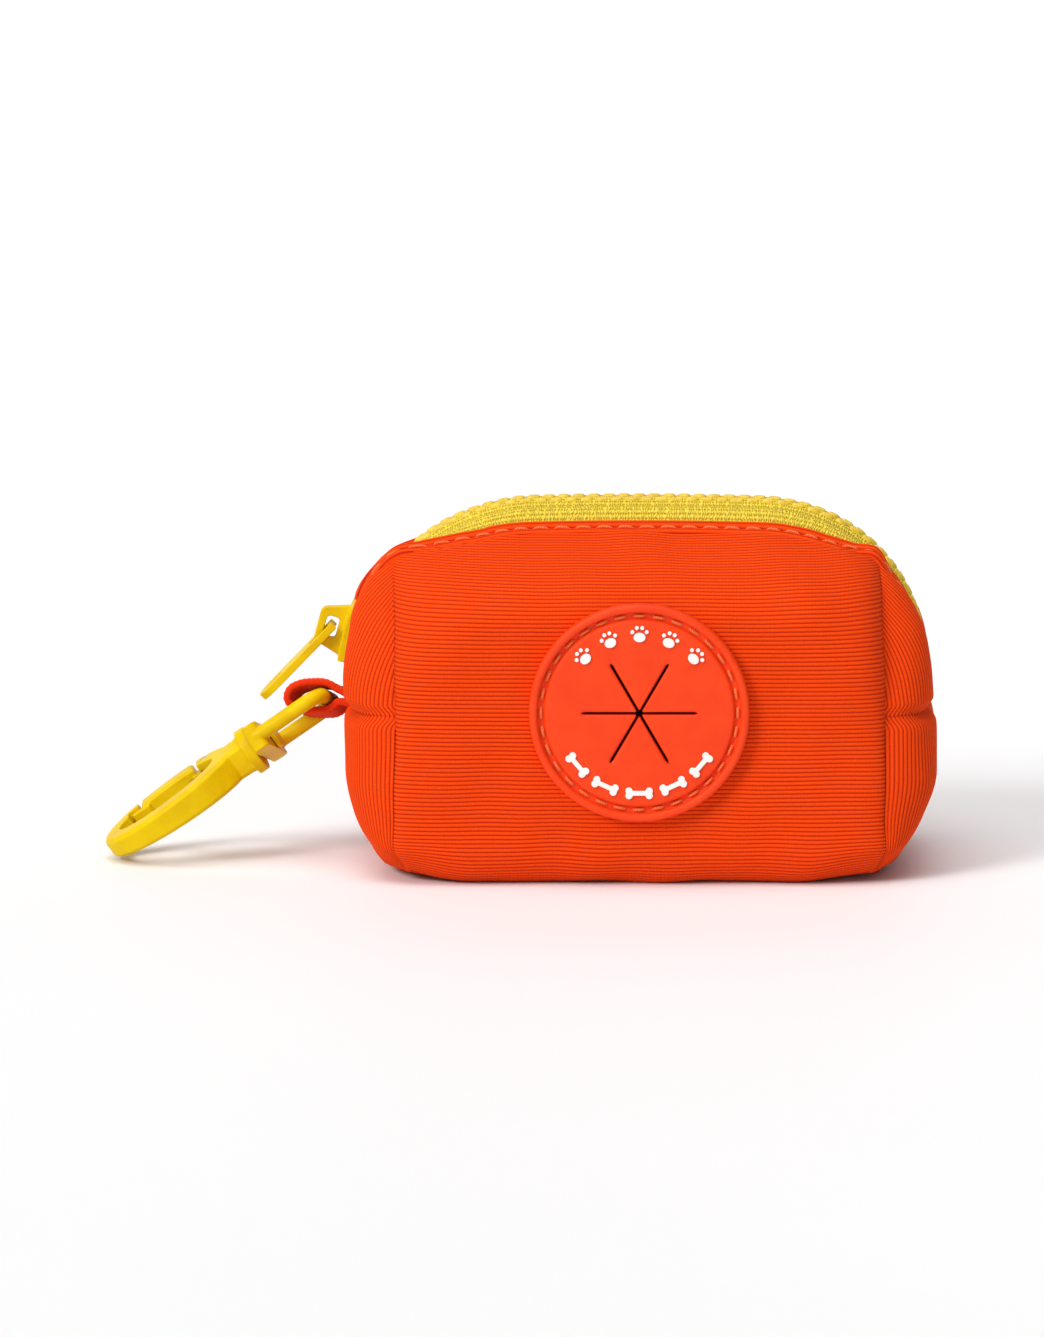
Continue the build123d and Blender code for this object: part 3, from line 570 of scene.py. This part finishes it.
def broad_face(side, name, hole):
    """The front or rear, in one piece from the base's edge up to the fabric edge beside the zip."""
    q_line, z_line = centre_section()
    run = distance_along(q_line, z_line)
    places, ribs = whole_ribs(run[-1])
    q_rows, z_rows = np.interp(places, run, q_line)[:, None], np.interp(places, run, z_line)[:, None]
    # each row spans from seam to seam, and above the corners from fabric edge to fabric edge
    above = z_rows > CORNER_Z
    left = -np.where(above, ZIP.edge_reach(z_rows, -1), seam(z_rows, -1)[1])
    right = np.where(above, ZIP.edge_reach(z_rows, 1), seam(z_rows, 1)[1])
    end_q = np.where(above, EDGE_Q, seam(z_rows, 1)[0])
    columns = 110
    even = np.linspace(-1, 1, columns)
    spread = (0.45 * np.sin(even * math.pi / 2) + 0.55 * even)[None, :]
    # the ends stop just short of the fabric edge, under the hem
    spread = spread * np.where(above, 0.985, 0.9995)
    soft = smooth((z_rows - 30.0) / 24.0)
    low = 1 - smooth(z_rows / 9.0)
    full = (1 - np.abs(spread) ** (11.0 - 7.6 * soft - 3.0 * low)) ** (0.5 + 0.2 * soft)
    x = (left + right) / 2 + (right - left) / 2 * spread
    q = end_q + np.maximum(q_rows - end_q, 0.0) * full
    z = np.broadcast_to(z_rows, x.shape)
    # the hem strip lies over the last stretch, so this sinks under it
    to_edge = np.maximum(np.interp(x, ZIP.edge_x, ZIP.edge_z) - z, 0) / 0.53
    sink = HEM_SINK * (1 - smooth((to_edge - 1.7) / 1.3)) * (z > 45)
    points = np.stack([x, side * q, z], -1)
    across = np.repeat(ribs[:, None], columns, 1)
    keep = None
    if hole:
        middle = (points[:-1, :-1] + points[1:, 1:]) / 2
        keep = np.hypot(middle[..., 0], middle[..., 2] - BADGE_Z) > HOLE_R
    return panel(name, points, x.copy(), across, sink, keep)


def flap_section(z, end):
    """The end flap's section at a height: distance along the cloth, q and reach, edge to seam."""
    u = np.sin(np.linspace(0, math.pi / 2, 70))
    seam_q, reach = seam(z, end)
    q = EDGE_Q + (seam_q - EDGE_Q) * u
    x = reach + (ZIP.edge_reach(z, end) - reach) * np.sqrt(1 - u**3.5)
    x = x + 0.6 * np.sin(math.pi * u) * smooth((CORNER_Z - z) / 12.0)
    return distance_along(q, x), q, x


def end_flap(side, end, name):
    """An upper end flap: end seam, boxing seam and fabric edge bound it, with its ribs upright."""
    # the flap's sharp tip is left out, under the hem
    heights = np.linspace(CORNER_Z - 0.9, END_SEAM_Z, 120)
    widths = np.maximum.accumulate([flap_section(z, end)[0][-1] for z in heights])
    places, ribs = whole_ribs(widths[-1])
    tops = np.interp(places, widths, heights)
    columns = 90
    even = 1 - (1 - np.linspace(0, 1, columns)) ** 1.8
    points = np.empty((len(places), columns, 3))
    for row, (place, top) in enumerate(zip(places, tops)):
        for column, z in enumerate(END_SEAM_Z + (top - END_SEAM_Z) * even):
            run, q, x = flap_section(z, end)
            points[row, column] = np.interp(place, run, x), np.interp(place, run, q), z
    q, z = points[..., 1], points[..., 2]
    sink = HEM_SINK * (1 - smooth((q - EDGE_Q - 1.7) / 1.2))
    points[..., 0] = end * (points[..., 0] - SEAM_PINCH * (1 - smooth((z - END_SEAM_Z) / 2.0)))
    points[..., 1] = side * q
    across = np.repeat(ribs[:, None], columns, 1)
    return panel(name, points, z.copy(), across, sink)


def base_strip(name):
    """The base and the two lower end flaps, one strip with its ribs along its length."""
    # rows evenly spaced along the cloth at a height where the ends bulge
    level, line = 14.0, np.sin(np.linspace(-math.pi / 2, math.pi / 2, 300))
    seam_q, reach = seam(level, -1)
    swell = (curve(level, LOWER_Z, LOWER_LEFT) - reach) * np.sqrt(1 - np.abs(line) ** SWELL_POWER)
    run = distance_along(seam_q * line, swell)
    places, ribs = whole_ribs(run[-1])
    share = np.interp(places, run, line)
    columns = 200
    z_line = END_SEAM_Z * (1 - np.sin(np.linspace(0, math.pi / 2, 80)))
    points = np.empty((len(share), columns, 3))
    along = np.empty((len(share), columns))
    for row, part in enumerate(share):
        ends = []
        for end, middle in ((-1, LOWER_LEFT), (1, LOWER_RIGHT)):
            reach = seam(z_line, end)[1]
            out = curve(z_line, LOWER_Z, middle)
            swell = math.sqrt(max(0.0, 1 - abs(part) ** SWELL_POWER))
            pinch = SEAM_PINCH * (1 - smooth((END_SEAM_Z - z_line) / 2.2))
            ends.append(end * (reach + (out - reach) * swell - pinch))
        x = np.hstack([ends[0], ends[1][::-1]])
        z = np.hstack([z_line, z_line[::-1]])
        run = distance_along(x, z)
        even = np.linspace(0, run[-1], columns)
        points[row, :, 0] = np.interp(even, run, x)
        points[row, :, 2] = np.interp(even, run, z)
        points[row, :, 1] = part * curve(points[row, :, 2], SEAM_Z, SEAM_Q)
        along[row] = even
    across = np.repeat(ribs[:, None], columns, 1)
    return panel(name, points, along, across)


def hem_frame(distance, side):
    """Point on the fabric edge, direction into the panel and direction out of the cloth."""
    x, z, out_x, out_z = ZIP.at(distance)
    rise = np.interp(distance, ZIP.run, ZIP.rise)
    turn = np.abs(np.interp(distance, ZIP.run, ZIP.lean))
    slope = np.radians(33.0 - 27.0 * smooth((turn - 34.0) / 16.0))
    zero = np.zeros_like(x)
    point = np.stack([x + rise * out_x, zero + side * EDGE_Q, z + rise * out_z], -1)
    outward = np.stack([out_x, zero, out_z], -1)
    sideways = np.array([0, float(side), 0])
    into = sideways * np.cos(slope)[..., None] - outward * np.sin(slope)[..., None]
    out = outward * np.cos(slope)[..., None] + sideways * np.sin(slope)[..., None]
    return point, into, out


def sew_hem(side, name):
    """The folded edge of the fabric beside the zip, rolled over and dimpled by its stitches."""
    across, height = np.array(HEM_PROFILE).T
    count = 900
    distance = np.linspace(0.4, ZIP.run[-1] - 0.4, count)
    point, into, out = hem_frame(distance, side)
    phase = (distance - FIRST_STITCH) / STITCH_PITCH
    dimple = np.exp(-(((phase - np.round(phase)) * STITCH_PITCH / 0.55) ** 2))
    channel = np.exp(-(((across - STITCH_A) / 0.42) ** 2))
    lift = height[:, None] - STITCH_DIMPLE * channel[:, None] * dimple[None, :]
    points = settle(point[None] + across[:, None, None] * into[None] + lift[..., None] * out[None])
    along = np.repeat(distance[None, :], len(across), 0)
    uv = np.stack([along, np.repeat(across[:, None], count, 1)], -1).reshape(-1, 2)
    faces = grid_faces(len(across), count)
    if side > 0:
        faces = faces[:, ::-1]
    piece = new_piece(name, points.reshape(-1, 3), faces, uv)
    smoother = piece.modifiers.new("round", "SUBSURF")
    smoother.levels = smoother.render_levels = 1
    finish_piece(modified(piece), SHELL, "pouch", "shell_fabric", "shell")
    return piece


def sew_shell():
    """The shell's panels, meeting in an H of seams at each end."""
    broad_face(-1, "front_panel", True)
    broad_face(1, "rear_panel", False)
    base_strip("base_and_lower_ends")
    for side, face in ((-1, "front"), (1, "rear")):
        sew_hem(side, f"hem_{face}")
        for end, hand in ((-1, "left"), (1, "right")):
            end_flap(side, end, f"end_flap_{face}_{hand}")


# ---- zip ----------------------------------------------------------------------------------
def make_tape(side, name, node):
    """A tape that runs from the teeth down under the fabric edge, with a beaded inner edge."""
    q = np.array([1.5, 1.45, 1.6, 2.0, 2.4, 2.8, 3.2, 3.6, 4.0, 4.4, 4.8, 5.2, 5.6, 6.0, 6.4, 6.8, 7.4])
    bead = np.array([0.2, 0.7, 0.95, 1.0, 0.75, 0.35] + [0.0] * 11)
    columns = 700
    distance = np.linspace(0, ZIP.run[-1], columns)
    rise = np.interp(distance, ZIP.run, ZIP.rise) - 0.6
    # flat as far out as the slider's flanges reach, then up or down to the fabric edge
    offset = bead[:, None] + rise[None, :] * smooth((q[:, None] - FLANGE_Q) / (6.8 - FLANGE_Q))
    # knots of the coarse weave
    grain = np.sin(distance * 2 * math.pi / WEAVE_PITCH)[None, :] * np.sin(q[:, None] * 2 * math.pi / 1.1)
    offset = offset + 0.10 * grain * smooth((q[:, None] - 2.2) / 0.6)
    # at the foot of the zip, below the slider, and at its other end the two tapes close in on each other
    from_end = np.minimum(distance, ZIP.run[-1] - distance + 1.0)[None, :]
    closing = 1.35 * (1 - smooth((from_end - 0.8) / 3.4)) * (1 - smooth((q[:, None] - 1.5) / 3.5))
    x, z, _, _ = ZIP.at(distance[None, :], offset)
    points = settle(np.stack([x, side * (q[:, None] - closing), z], -1))
    along = np.repeat(distance[None, :], len(q), 0)
    across = np.repeat(q[:, None], columns, 1)
    if side < 0:
        points, along = points[:, ::-1], along[:, ::-1]
    uv = np.stack([along, across], -1).reshape(-1, 2)
    piece = new_piece(name, points.reshape(-1, 3), grid_faces(*points.shape[:2]), uv)
    return finish_piece(thicken(piece, 0.5), TAPE, "pouch", "zip_tape", node)


def rounded_block(length, width, height, corner):
    """Vertices and faces of a block with rounded corners, centred on the origin."""
    steps = 3
    angles = np.linspace(0, math.pi / 2, steps)
    ring = []
    for corner_x, corner_y, turn in ((1, 1, 0), (-1, 1, 1), (-1, -1, 2), (1, -1, 3)):
        for angle in angles + turn * math.pi / 2:
            ring.append((corner_x, corner_y, math.cos(angle), math.sin(angle)))
    levels = []
    for end in (-1, 1):
        lean = np.linspace(0, math.pi / 2, steps)
        lean = lean if end > 0 else lean[::-1]
        for tilt in lean:
            levels.append((end * (height / 2 - corner + corner * math.sin(tilt)), math.cos(tilt)))
    vertices = []
    for z, spread in levels:
        for corner_x, corner_y, cx, cy in ring:
            vertices.append((
                corner_x * (length / 2 - corner) + corner * spread * cx,
                corner_y * (width / 2 - corner) + corner * spread * cy,
                z,
            ))
    count = len(ring)
    faces = [list(f) for f in grid_faces(len(levels), count, around=True)]
    faces.append(list(range(count))[::-1])
    faces.append([len(vertices) - count + i for i in range(count)])
    return np.array(vertices), faces


def gather(parts):
    """Several vertex and face sets as one."""
    vertices, faces, uvs, start = [], [], [], 0
    for part_vertices, part_faces, uv in parts:
        vertices.append(part_vertices)
        faces.extend([[start + i for i in face] for face in part_faces])
        uvs.append(uv if uv is not None else np.zeros((len(part_vertices), 2)))
        start += len(part_vertices)
    return np.vstack(vertices), faces, np.vstack(uvs)


def make_teeth(side, name, node, first):
    """A row of moulded teeth: a block on the tape, a neck and a head that meets the other row."""
    body = rounded_block(2.15, 1.5, 2.5, 0.45)
    head = rounded_block(1.15, 1.7, 1.7, 0.3)
    sideways = np.array([0, 1.0, 0])
    parts = []
    for distance in np.arange(first, ZIP.run[-1] - 1.0, TOOTH_PITCH):
        x, z, out_x, out_z = ZIP.at(distance)
        point, outward, along = np.array([x, 0, z]), np.array([out_x, 0, out_z]), np.array([out_z, 0, -out_x])
        for (vertices, faces), q in ((body, 1.75), (head, 0.45)):
            moved = point + vertices[:, :1] * along + vertices[:, 2:] * outward
            parts.append((moved + (vertices[:, 1:2] + side * q) * sideways, faces, None))
    vertices, faces, uv = gather(parts)
    piece = new_piece(name, vertices, faces, uv)
    return finish_piece(piece, TEETH, "pouch", "zip_teeth", node)


# ---- stitches -----------------------------------------------------------------------------
def stitch(start, end, outward, radius, sink):
    """One stitch: a thread that rises from the cloth, lies on it and goes back in."""
    across = np.cross(end - start, outward)
    across = across / np.linalg.norm(across)
    steps, sides = 9, 8
    vertices, uv = [], []
    length = float(np.linalg.norm(end - start))
    for i in range(steps):
        t = i / (steps - 1)
        lift = radius * 0.9 - sink * (abs(2 * t - 1) ** 3.5)
        centre = start + (end - start) * t + outward * lift
        fat = radius * (1 - 0.25 * abs(2 * t - 1) ** 4)
        for j in range(sides):
            angle = 2 * math.pi * j / sides
            vertices.append(centre + fat * (math.cos(angle) * across + math.sin(angle) * outward))
            uv.append((t * length, radius * angle))
    faces = [list(f) for f in grid_faces(steps, sides, around=True)]
    faces.append(list(range(sides))[::-1])
    faces.append([len(vertices) - sides + i for i in range(sides)])
    return np.array(vertices), faces, np.array(uv)


def sew_topstitch(side, name, node):
    """The row of stitches along the hem, from end seam to end seam."""
    parts = []
    for distance in np.arange(FIRST_STITCH, ZIP.run[-1] - 2.6 - STITCH_PITCH, STITCH_PITCH):
        point, into, out = hem_frame(np.array([distance + 0.45, distance + STITCH_PITCH - 0.45]), side)
        # each stitch slants a little across the row
        slant = np.array([[STITCH_A - 0.13], [STITCH_A + 0.13]])
        ends = settle(point + into * slant + out * -0.02)
        parts.append(stitch(ends[0], ends[1], out.mean(axis=0), 0.21, 0.42))
    vertices, faces, uv = gather(parts)
    return finish_piece(new_piece(name, vertices, faces, uv), THREAD, "pouch", "thread", node)


# ---- badge --------------------------------------------------------------------------------
BADGE_BACK = -FRONT_Q
BADGE_R, RIM_R, DISC_R = 18.45, 17.1, 15.9
SLIT_END = 9.8
SLIT_HALF = 0.25
BEND = SLIT_END * math.cos(math.pi / 6)      # the flaps bend along chords at this distance
DISC_TOP = 2.0
FLAP_THICK = 1.4


def badge_point(x, y, height):
    """Badge coordinates, X and up and out of the front, to the CAD frame."""
    return np.stack([x, BADGE_BACK - height, BADGE_Z + y], -1)


def rim_profile():
    """Radius and height over the badge's section, from the flaps' edge out and over the rim."""
    return [
        (11.0, DISC_TOP), (13.5, DISC_TOP), (15.2, DISC_TOP), (15.6, DISC_TOP - 0.04),
        (15.8, DISC_TOP - 0.18), (DISC_R, DISC_TOP - 0.45), (15.95, 1.3), (16.1, 1.14), (16.5, 1.1),
        (16.9, 1.14), (17.05, 1.3), (RIM_R, 1.9), (17.2, 2.14), (17.4, 2.27), (17.75, 2.32),
        (18.1, 2.26), (18.32, 2.08), (18.43, 1.8), (BADGE_R, 1.2), (BADGE_R, 0.3), (18.4, 0.02),
    ]


def make_badge():
    """The round badge outside the flaps: disc, stitching groove, raised rim and edge."""
    turns = 360
    angle = np.linspace(0, 2 * math.pi, turns, endpoint=False)
    sector = (angle % (math.pi / 3)) - math.pi / 6
    inner = BEND / np.cos(sector)
    rows = []
    for share in (0.0, 0.05, 0.2, 0.5):
        rows.append((inner + (11.0 - inner) * share, np.full(turns, DISC_TOP)))
    for radius, height in rim_profile():
        rows.append((np.full(turns, radius), np.full(turns, height)))
    rows.append((np.full(turns, 12.0), np.full(turns, 0.02)))
    rows.append((inner, np.full(turns, DISC_TOP - FLAP_THICK)))
    points = np.stack([badge_point(r * np.cos(angle), r * np.sin(angle), h) for r, h in rows])
    faces = grid_faces(len(rows), turns, around=True)
    piece = new_piece("badge_body", points.reshape(-1, 3), faces[:, ::-1])
    return finish_piece(piece, SILICONE, "pouch", "badge_silicone", "badge")


def make_flap(number):
    """One petal of the star, continuous with the badge along its chord, free along its slits."""
    heading = math.radians(30 + 60 * (number - 1))
    tip = SLIT_HALF / math.sin(math.pi / 6) + 0.15
    rows = 26
    columns = 24
    edge_round = 0.16
    section = []
    reach = np.linspace(BEND, tip, rows)
    # across the petal: from one slit edge over the top to the other, then back underneath
    for distance in reach:
        half = (distance - tip) * math.tan(math.pi / 6) + 0.1
        if distance > BEND - 0.4:
            half = half + SLIT_HALF * 1.1547 * (1 - (BEND - distance) / 0.4) ** 2
        spots = []
        for level, inward, start in ((DISC_TOP, -1, -1), (DISC_TOP - FLAP_THICK, 1, 1)):
            for s in np.linspace(start, -start, columns):
                rounding = inward * edge_round if abs(s) == 1 else 0
                spots.append((s * (half - edge_round * (1 - abs(s) ** 8)), level + rounding))
        section.append([(distance, across, height) for across, height in spots])
    lattice = np.array(section)
    x = lattice[..., 0] * math.cos(heading) - lattice[..., 1] * math.sin(heading)
    y = lattice[..., 0] * math.sin(heading) + lattice[..., 1] * math.cos(heading)
    points = badge_point(x, y, lattice[..., 2])
    around = 2 * columns
    faces = [list(f) for f in grid_faces(rows, around, around=True)]
    faces.append([(rows - 1) * around + i for i in range(around)])
    piece = new_piece(f"flap_{number}", points.reshape(-1, 3), faces)
    piece.data.materials.clear()
    piece.data.materials.append(SILICONE)
    axis = np.array([math.cos(heading), math.sin(heading)])
    start = badge_point(*(axis * BEND), 1.2) * MM
    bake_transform(piece)
    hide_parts(f"star_flap_{number}")
    return piece


def sew_badge():
    """The ring of stitches in the badge's groove."""
    parts = []
    count = 32
    for i in range(count):
        ends = []
        for turn in (i - 0.36, i + 0.36):
            angle = 2 * math.pi * turn / count
            ends.append(badge_point(16.5 * math.cos(angle), 16.5 * math.sin(angle), 1.1))
        parts.append(stitch(ends[0], ends[1], np.array([0, -1.0, 0]), 0.27, 0.5))
    vertices, faces, uv = gather(parts)
    piece = new_piece("badge_stitches", vertices, faces, uv)
    return finish_piece(piece, THREAD, "pouch", "thread", "badge_stitching")


# ---- hang loop ------------------------------------------------------------------------------
def catmull(knots, values, where):
    """A smooth curve through evenly spaced values."""
    padded = np.hstack([2 * values[0] - values[1], values, 2 * values[-1] - values[-2]])
    index = np.clip(np.floor(where).astype(int), 0, len(knots) - 2)
    t = where - index
    a, b, c, d = (padded[index + i] for i in range(4))
    square, cube = 2 * a - 5 * b + 4 * c - d, 3 * b - a - 3 * c + d
    return 0.5 * (2 * b + (c - a) * t + square * t**2 + cube * t**3)


def make_loop():
    """A ribbed strip out of the left end seam, round the hook's crossbar and back, twisting as it goes."""
    # clear of the crossbar, whose centre is at X -52.8 and Z 27.9 and whose radius is 1.3
    route = np.array([
        (-47.6, 28.75), (-49.2, 28.85), (-50.4, 29.15), (-51.3, 29.75), (-52.6, 30.22), (-54.4, 30.25),
        (-56.2, 30.05), (-57.9, 29.3), (-58.65, 28.1), (-58.5, 26.9), (-57.4, 26.0), (-55.6, 25.55),
        (-53.8, 25.52), (-52.2, 25.6), (-51.1, 26.15), (-50.3, 26.9), (-49.2, 27.3), (-47.6, 27.3),
    ])
    knots = np.arange(len(route))
    fine = np.linspace(0, len(route) - 1, 340)
    x, z = (catmull(knots, route[:, i], fine) for i in (0, 1))
    run = np.hstack([0, np.cumsum(np.hypot(np.diff(x), np.diff(z)))])
    across_bar = np.array(Vector(joints["eye_swing"]["axis"]).normalized())
    # the strip lies level in the seam, and along the crossbar where it goes round it
    twist = smooth((-48.0 - x) / 2.4)
    wide = np.array([0, 1.0, 0])[None, :] * (1 - twist[:, None]) + across_bar[None, :] * twist[:, None]
    wide = wide / np.linalg.norm(wide, axis=1, keepdims=True)
    tangent = np.stack([np.gradient(x), np.zeros_like(x), np.gradient(z)], -1)
    out = np.cross(tangent, wide)
    out = out / np.linalg.norm(out, axis=1, keepdims=True)
    half, thick = 4.2, 0.54
    around = 120
    turn = np.linspace(0, 2 * math.pi, around, endpoint=False)
    side = np.sign(np.cos(turn)) * np.abs(np.cos(turn)) ** 0.35
    height = np.sign(np.sin(turn)) * np.abs(np.sin(turn)) ** 0.6
    across = side * half
    ribs = 0.10 * np.abs(np.sin(math.pi * across / RIB_PITCH)) ** 0.7
    # corded edges on the outer side, with the cord's turns showing
    edge = smooth((np.abs(across) - 3.0) / 0.9) * (height < 0)
    cord = 0.05 * np.sin(2 * math.pi * run / 0.75)
    centre = np.stack([x, np.zeros_like(x), z], -1)
    rise = height[None, :] * (thick + ribs[None, :] + edge[None, :] * (0.24 + cord[:, None]))
    points = centre[:, None, :] + wide[:, None, :] * across[None, :, None] + out[:, None, :] * rise[..., None]
    along = np.repeat(run[:, None], around, 1)
    uv = np.stack([along, np.repeat((across + 10 * RIB_PITCH)[None, :], len(x), 0)], -1).reshape(-1, 2)
    faces = [list(f) for f in grid_faces(len(x), around, around=True)]
    piece = new_piece("hang_loop_strip", points.reshape(-1, 3), faces, uv)
    piece.data.materials.append(LOOP_FABRIC)
    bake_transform(piece)
    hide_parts("hang_loop")
    return piece


# ---- cast pieces ------------------------------------------------------------------------------
def cast(node, voxel, rounds, material, slot_name, rides=True):
    """A CAD piece with softened edges, as from casting and paint, on its own body unless told not to."""
    source = frame["nodes"][node]
    piece = bpy.data.objects.new(node + "_finished", source.data.copy())
    bpy.context.scene.collection.objects.link(piece)
    remesh = piece.modifiers.new("remesh", "REMESH")
    remesh.mode = "VOXEL"
    remesh.voxel_size = voxel * 1.0 * MM
    soften = piece.modifiers.new("soften", "SMOOTH")
    soften.factor = 0.5
    soften.iterations = rounds
    modified(piece)
    piece.data.polygons.foreach_set("use_smooth", [True] * len(piece.data.polygons))
    return finish_piece(piece, material, source["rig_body"] if rides else None, slot_name, node)


def make_metal():
    cast("zip_slider", 0.12, 6, PAINT, "painted_zinc")
    cast("zip_pull", 0.10, 5, PAINT, "painted_zinc")
    cast("swivel_eye", 0.12, 6, PAINT, "painted_zinc")
    cast("swivel_rivet", 0.10, 4, PAINT, "painted_zinc")
    cast("hook_body", 0.13, 7, PAINT, "painted_zinc")
    cast("gate", 0.11, 5, PAINT, "painted_zinc")
    # the leaf spring is held by the hook, and its free end follows the gate; this piece is put on no body and
    # stays where it is
    spring = cast("gate_spring", 0.06, 2, STEEL, "steel", rides=False)
    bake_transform(spring)
    pin = frame["nodes"]["gate_pin"]
    pin.data.materials.clear()
    pin.data.materials.append(STEEL)


def make_motifs():
    for node in ("emblem_upper", "emblem_lower"):
        cast(node, 0.07, 4, MOTIF, "motif")


# ---- stage ----------------------------------------------------------------------------------
def make_stage():
    """A pale sweep: floor, a wide curve up and a wall, lit from the upper left."""
    turn = np.linspace(0, math.pi / 2, 24)
    bend, wall, top = 600.0, 2200.0, 3500.0
    y = np.hstack([-3500.0, wall + bend * np.sin(turn), wall + bend])
    z = np.hstack([0.0, bend * (1 - np.cos(turn)), top])
    points = np.stack([np.stack([np.full_like(y, x), y, z], -1) for x in (-3500.0, 3500.0)], 1)
    sweep = new_piece("sweep", points.reshape(-1, 3), grid_faces(len(y), 2))
    sweep.data.materials.append(pale_floor("sweep"))
    sweep.location.z = -0.02 * MM
    world = bpy.data.worlds.new("studio")
    bpy.context.scene.world = world
    world.use_nodes = True
    background = world.node_tree.nodes["Background"]
    background.inputs[0].default_value = (1.0, 1.0, 1.0, 1.0)
    background.inputs[1].default_value = 0.14
    for name, place, spread, strength in (
        ("overhead", (-0.1, -0.25, 1.0), 50.0, 1.85),
        ("key", (-0.8, -0.75, 0.7), 22.0, 1.85),
        ("front", (0.05, -1.0, 0.25), 40.0, 0.35),
    ):
        light = bpy.data.lights.new(name, "SUN")
        light.angle = math.radians(spread)
        light.energy = strength
        lamp = bpy.data.objects.new(name, light)
        bpy.context.scene.collection.objects.link(lamp)
        lamp.rotation_euler = Vector(place).to_track_quat("Z", "Y").to_euler()


def make_camera():
    """Straight in front and ten degrees above, from far off through a long lens."""
    camera = bpy.data.cameras.new("camera")
    camera.sensor_width = 36.0
    camera.lens = 221.6
    camera.clip_start = 0.01
    holder = bpy.data.objects.new("camera", camera)
    bpy.context.scene.collection.objects.link(holder)
    aim = Vector((-0.0196, 0.0, 0.033))
    tilt = math.radians(10.0)
    holder.location = aim + 1.40 * Vector((0, -math.cos(tilt), math.sin(tilt)))
    holder.rotation_euler = (aim - holder.location).to_track_quat("-Z", "Y").to_euler()
    bpy.context.scene.camera = holder


bpy.context.scene.view_settings.view_transform = "Standard"
make_camera()
make_stage()
sew_shell()
make_tape(-1, "front_tape", "zip_tape_front")
make_tape(1, "rear_tape", "zip_tape_rear")
make_teeth(-1, "front_teeth", "zip_teeth_front", FIRST_TOOTH)
make_teeth(1, "rear_teeth", "zip_teeth_rear", FIRST_TOOTH + TOOTH_PITCH / 2)
sew_topstitch(-1, "topstitch_front", "zip_topstitch_front")
sew_topstitch(1, "topstitch_rear", "zip_topstitch_rear")
make_badge()
for flap_number in range(1, 7):
    make_flap(flap_number)
sew_badge()
make_loop()
make_metal()
make_motifs()
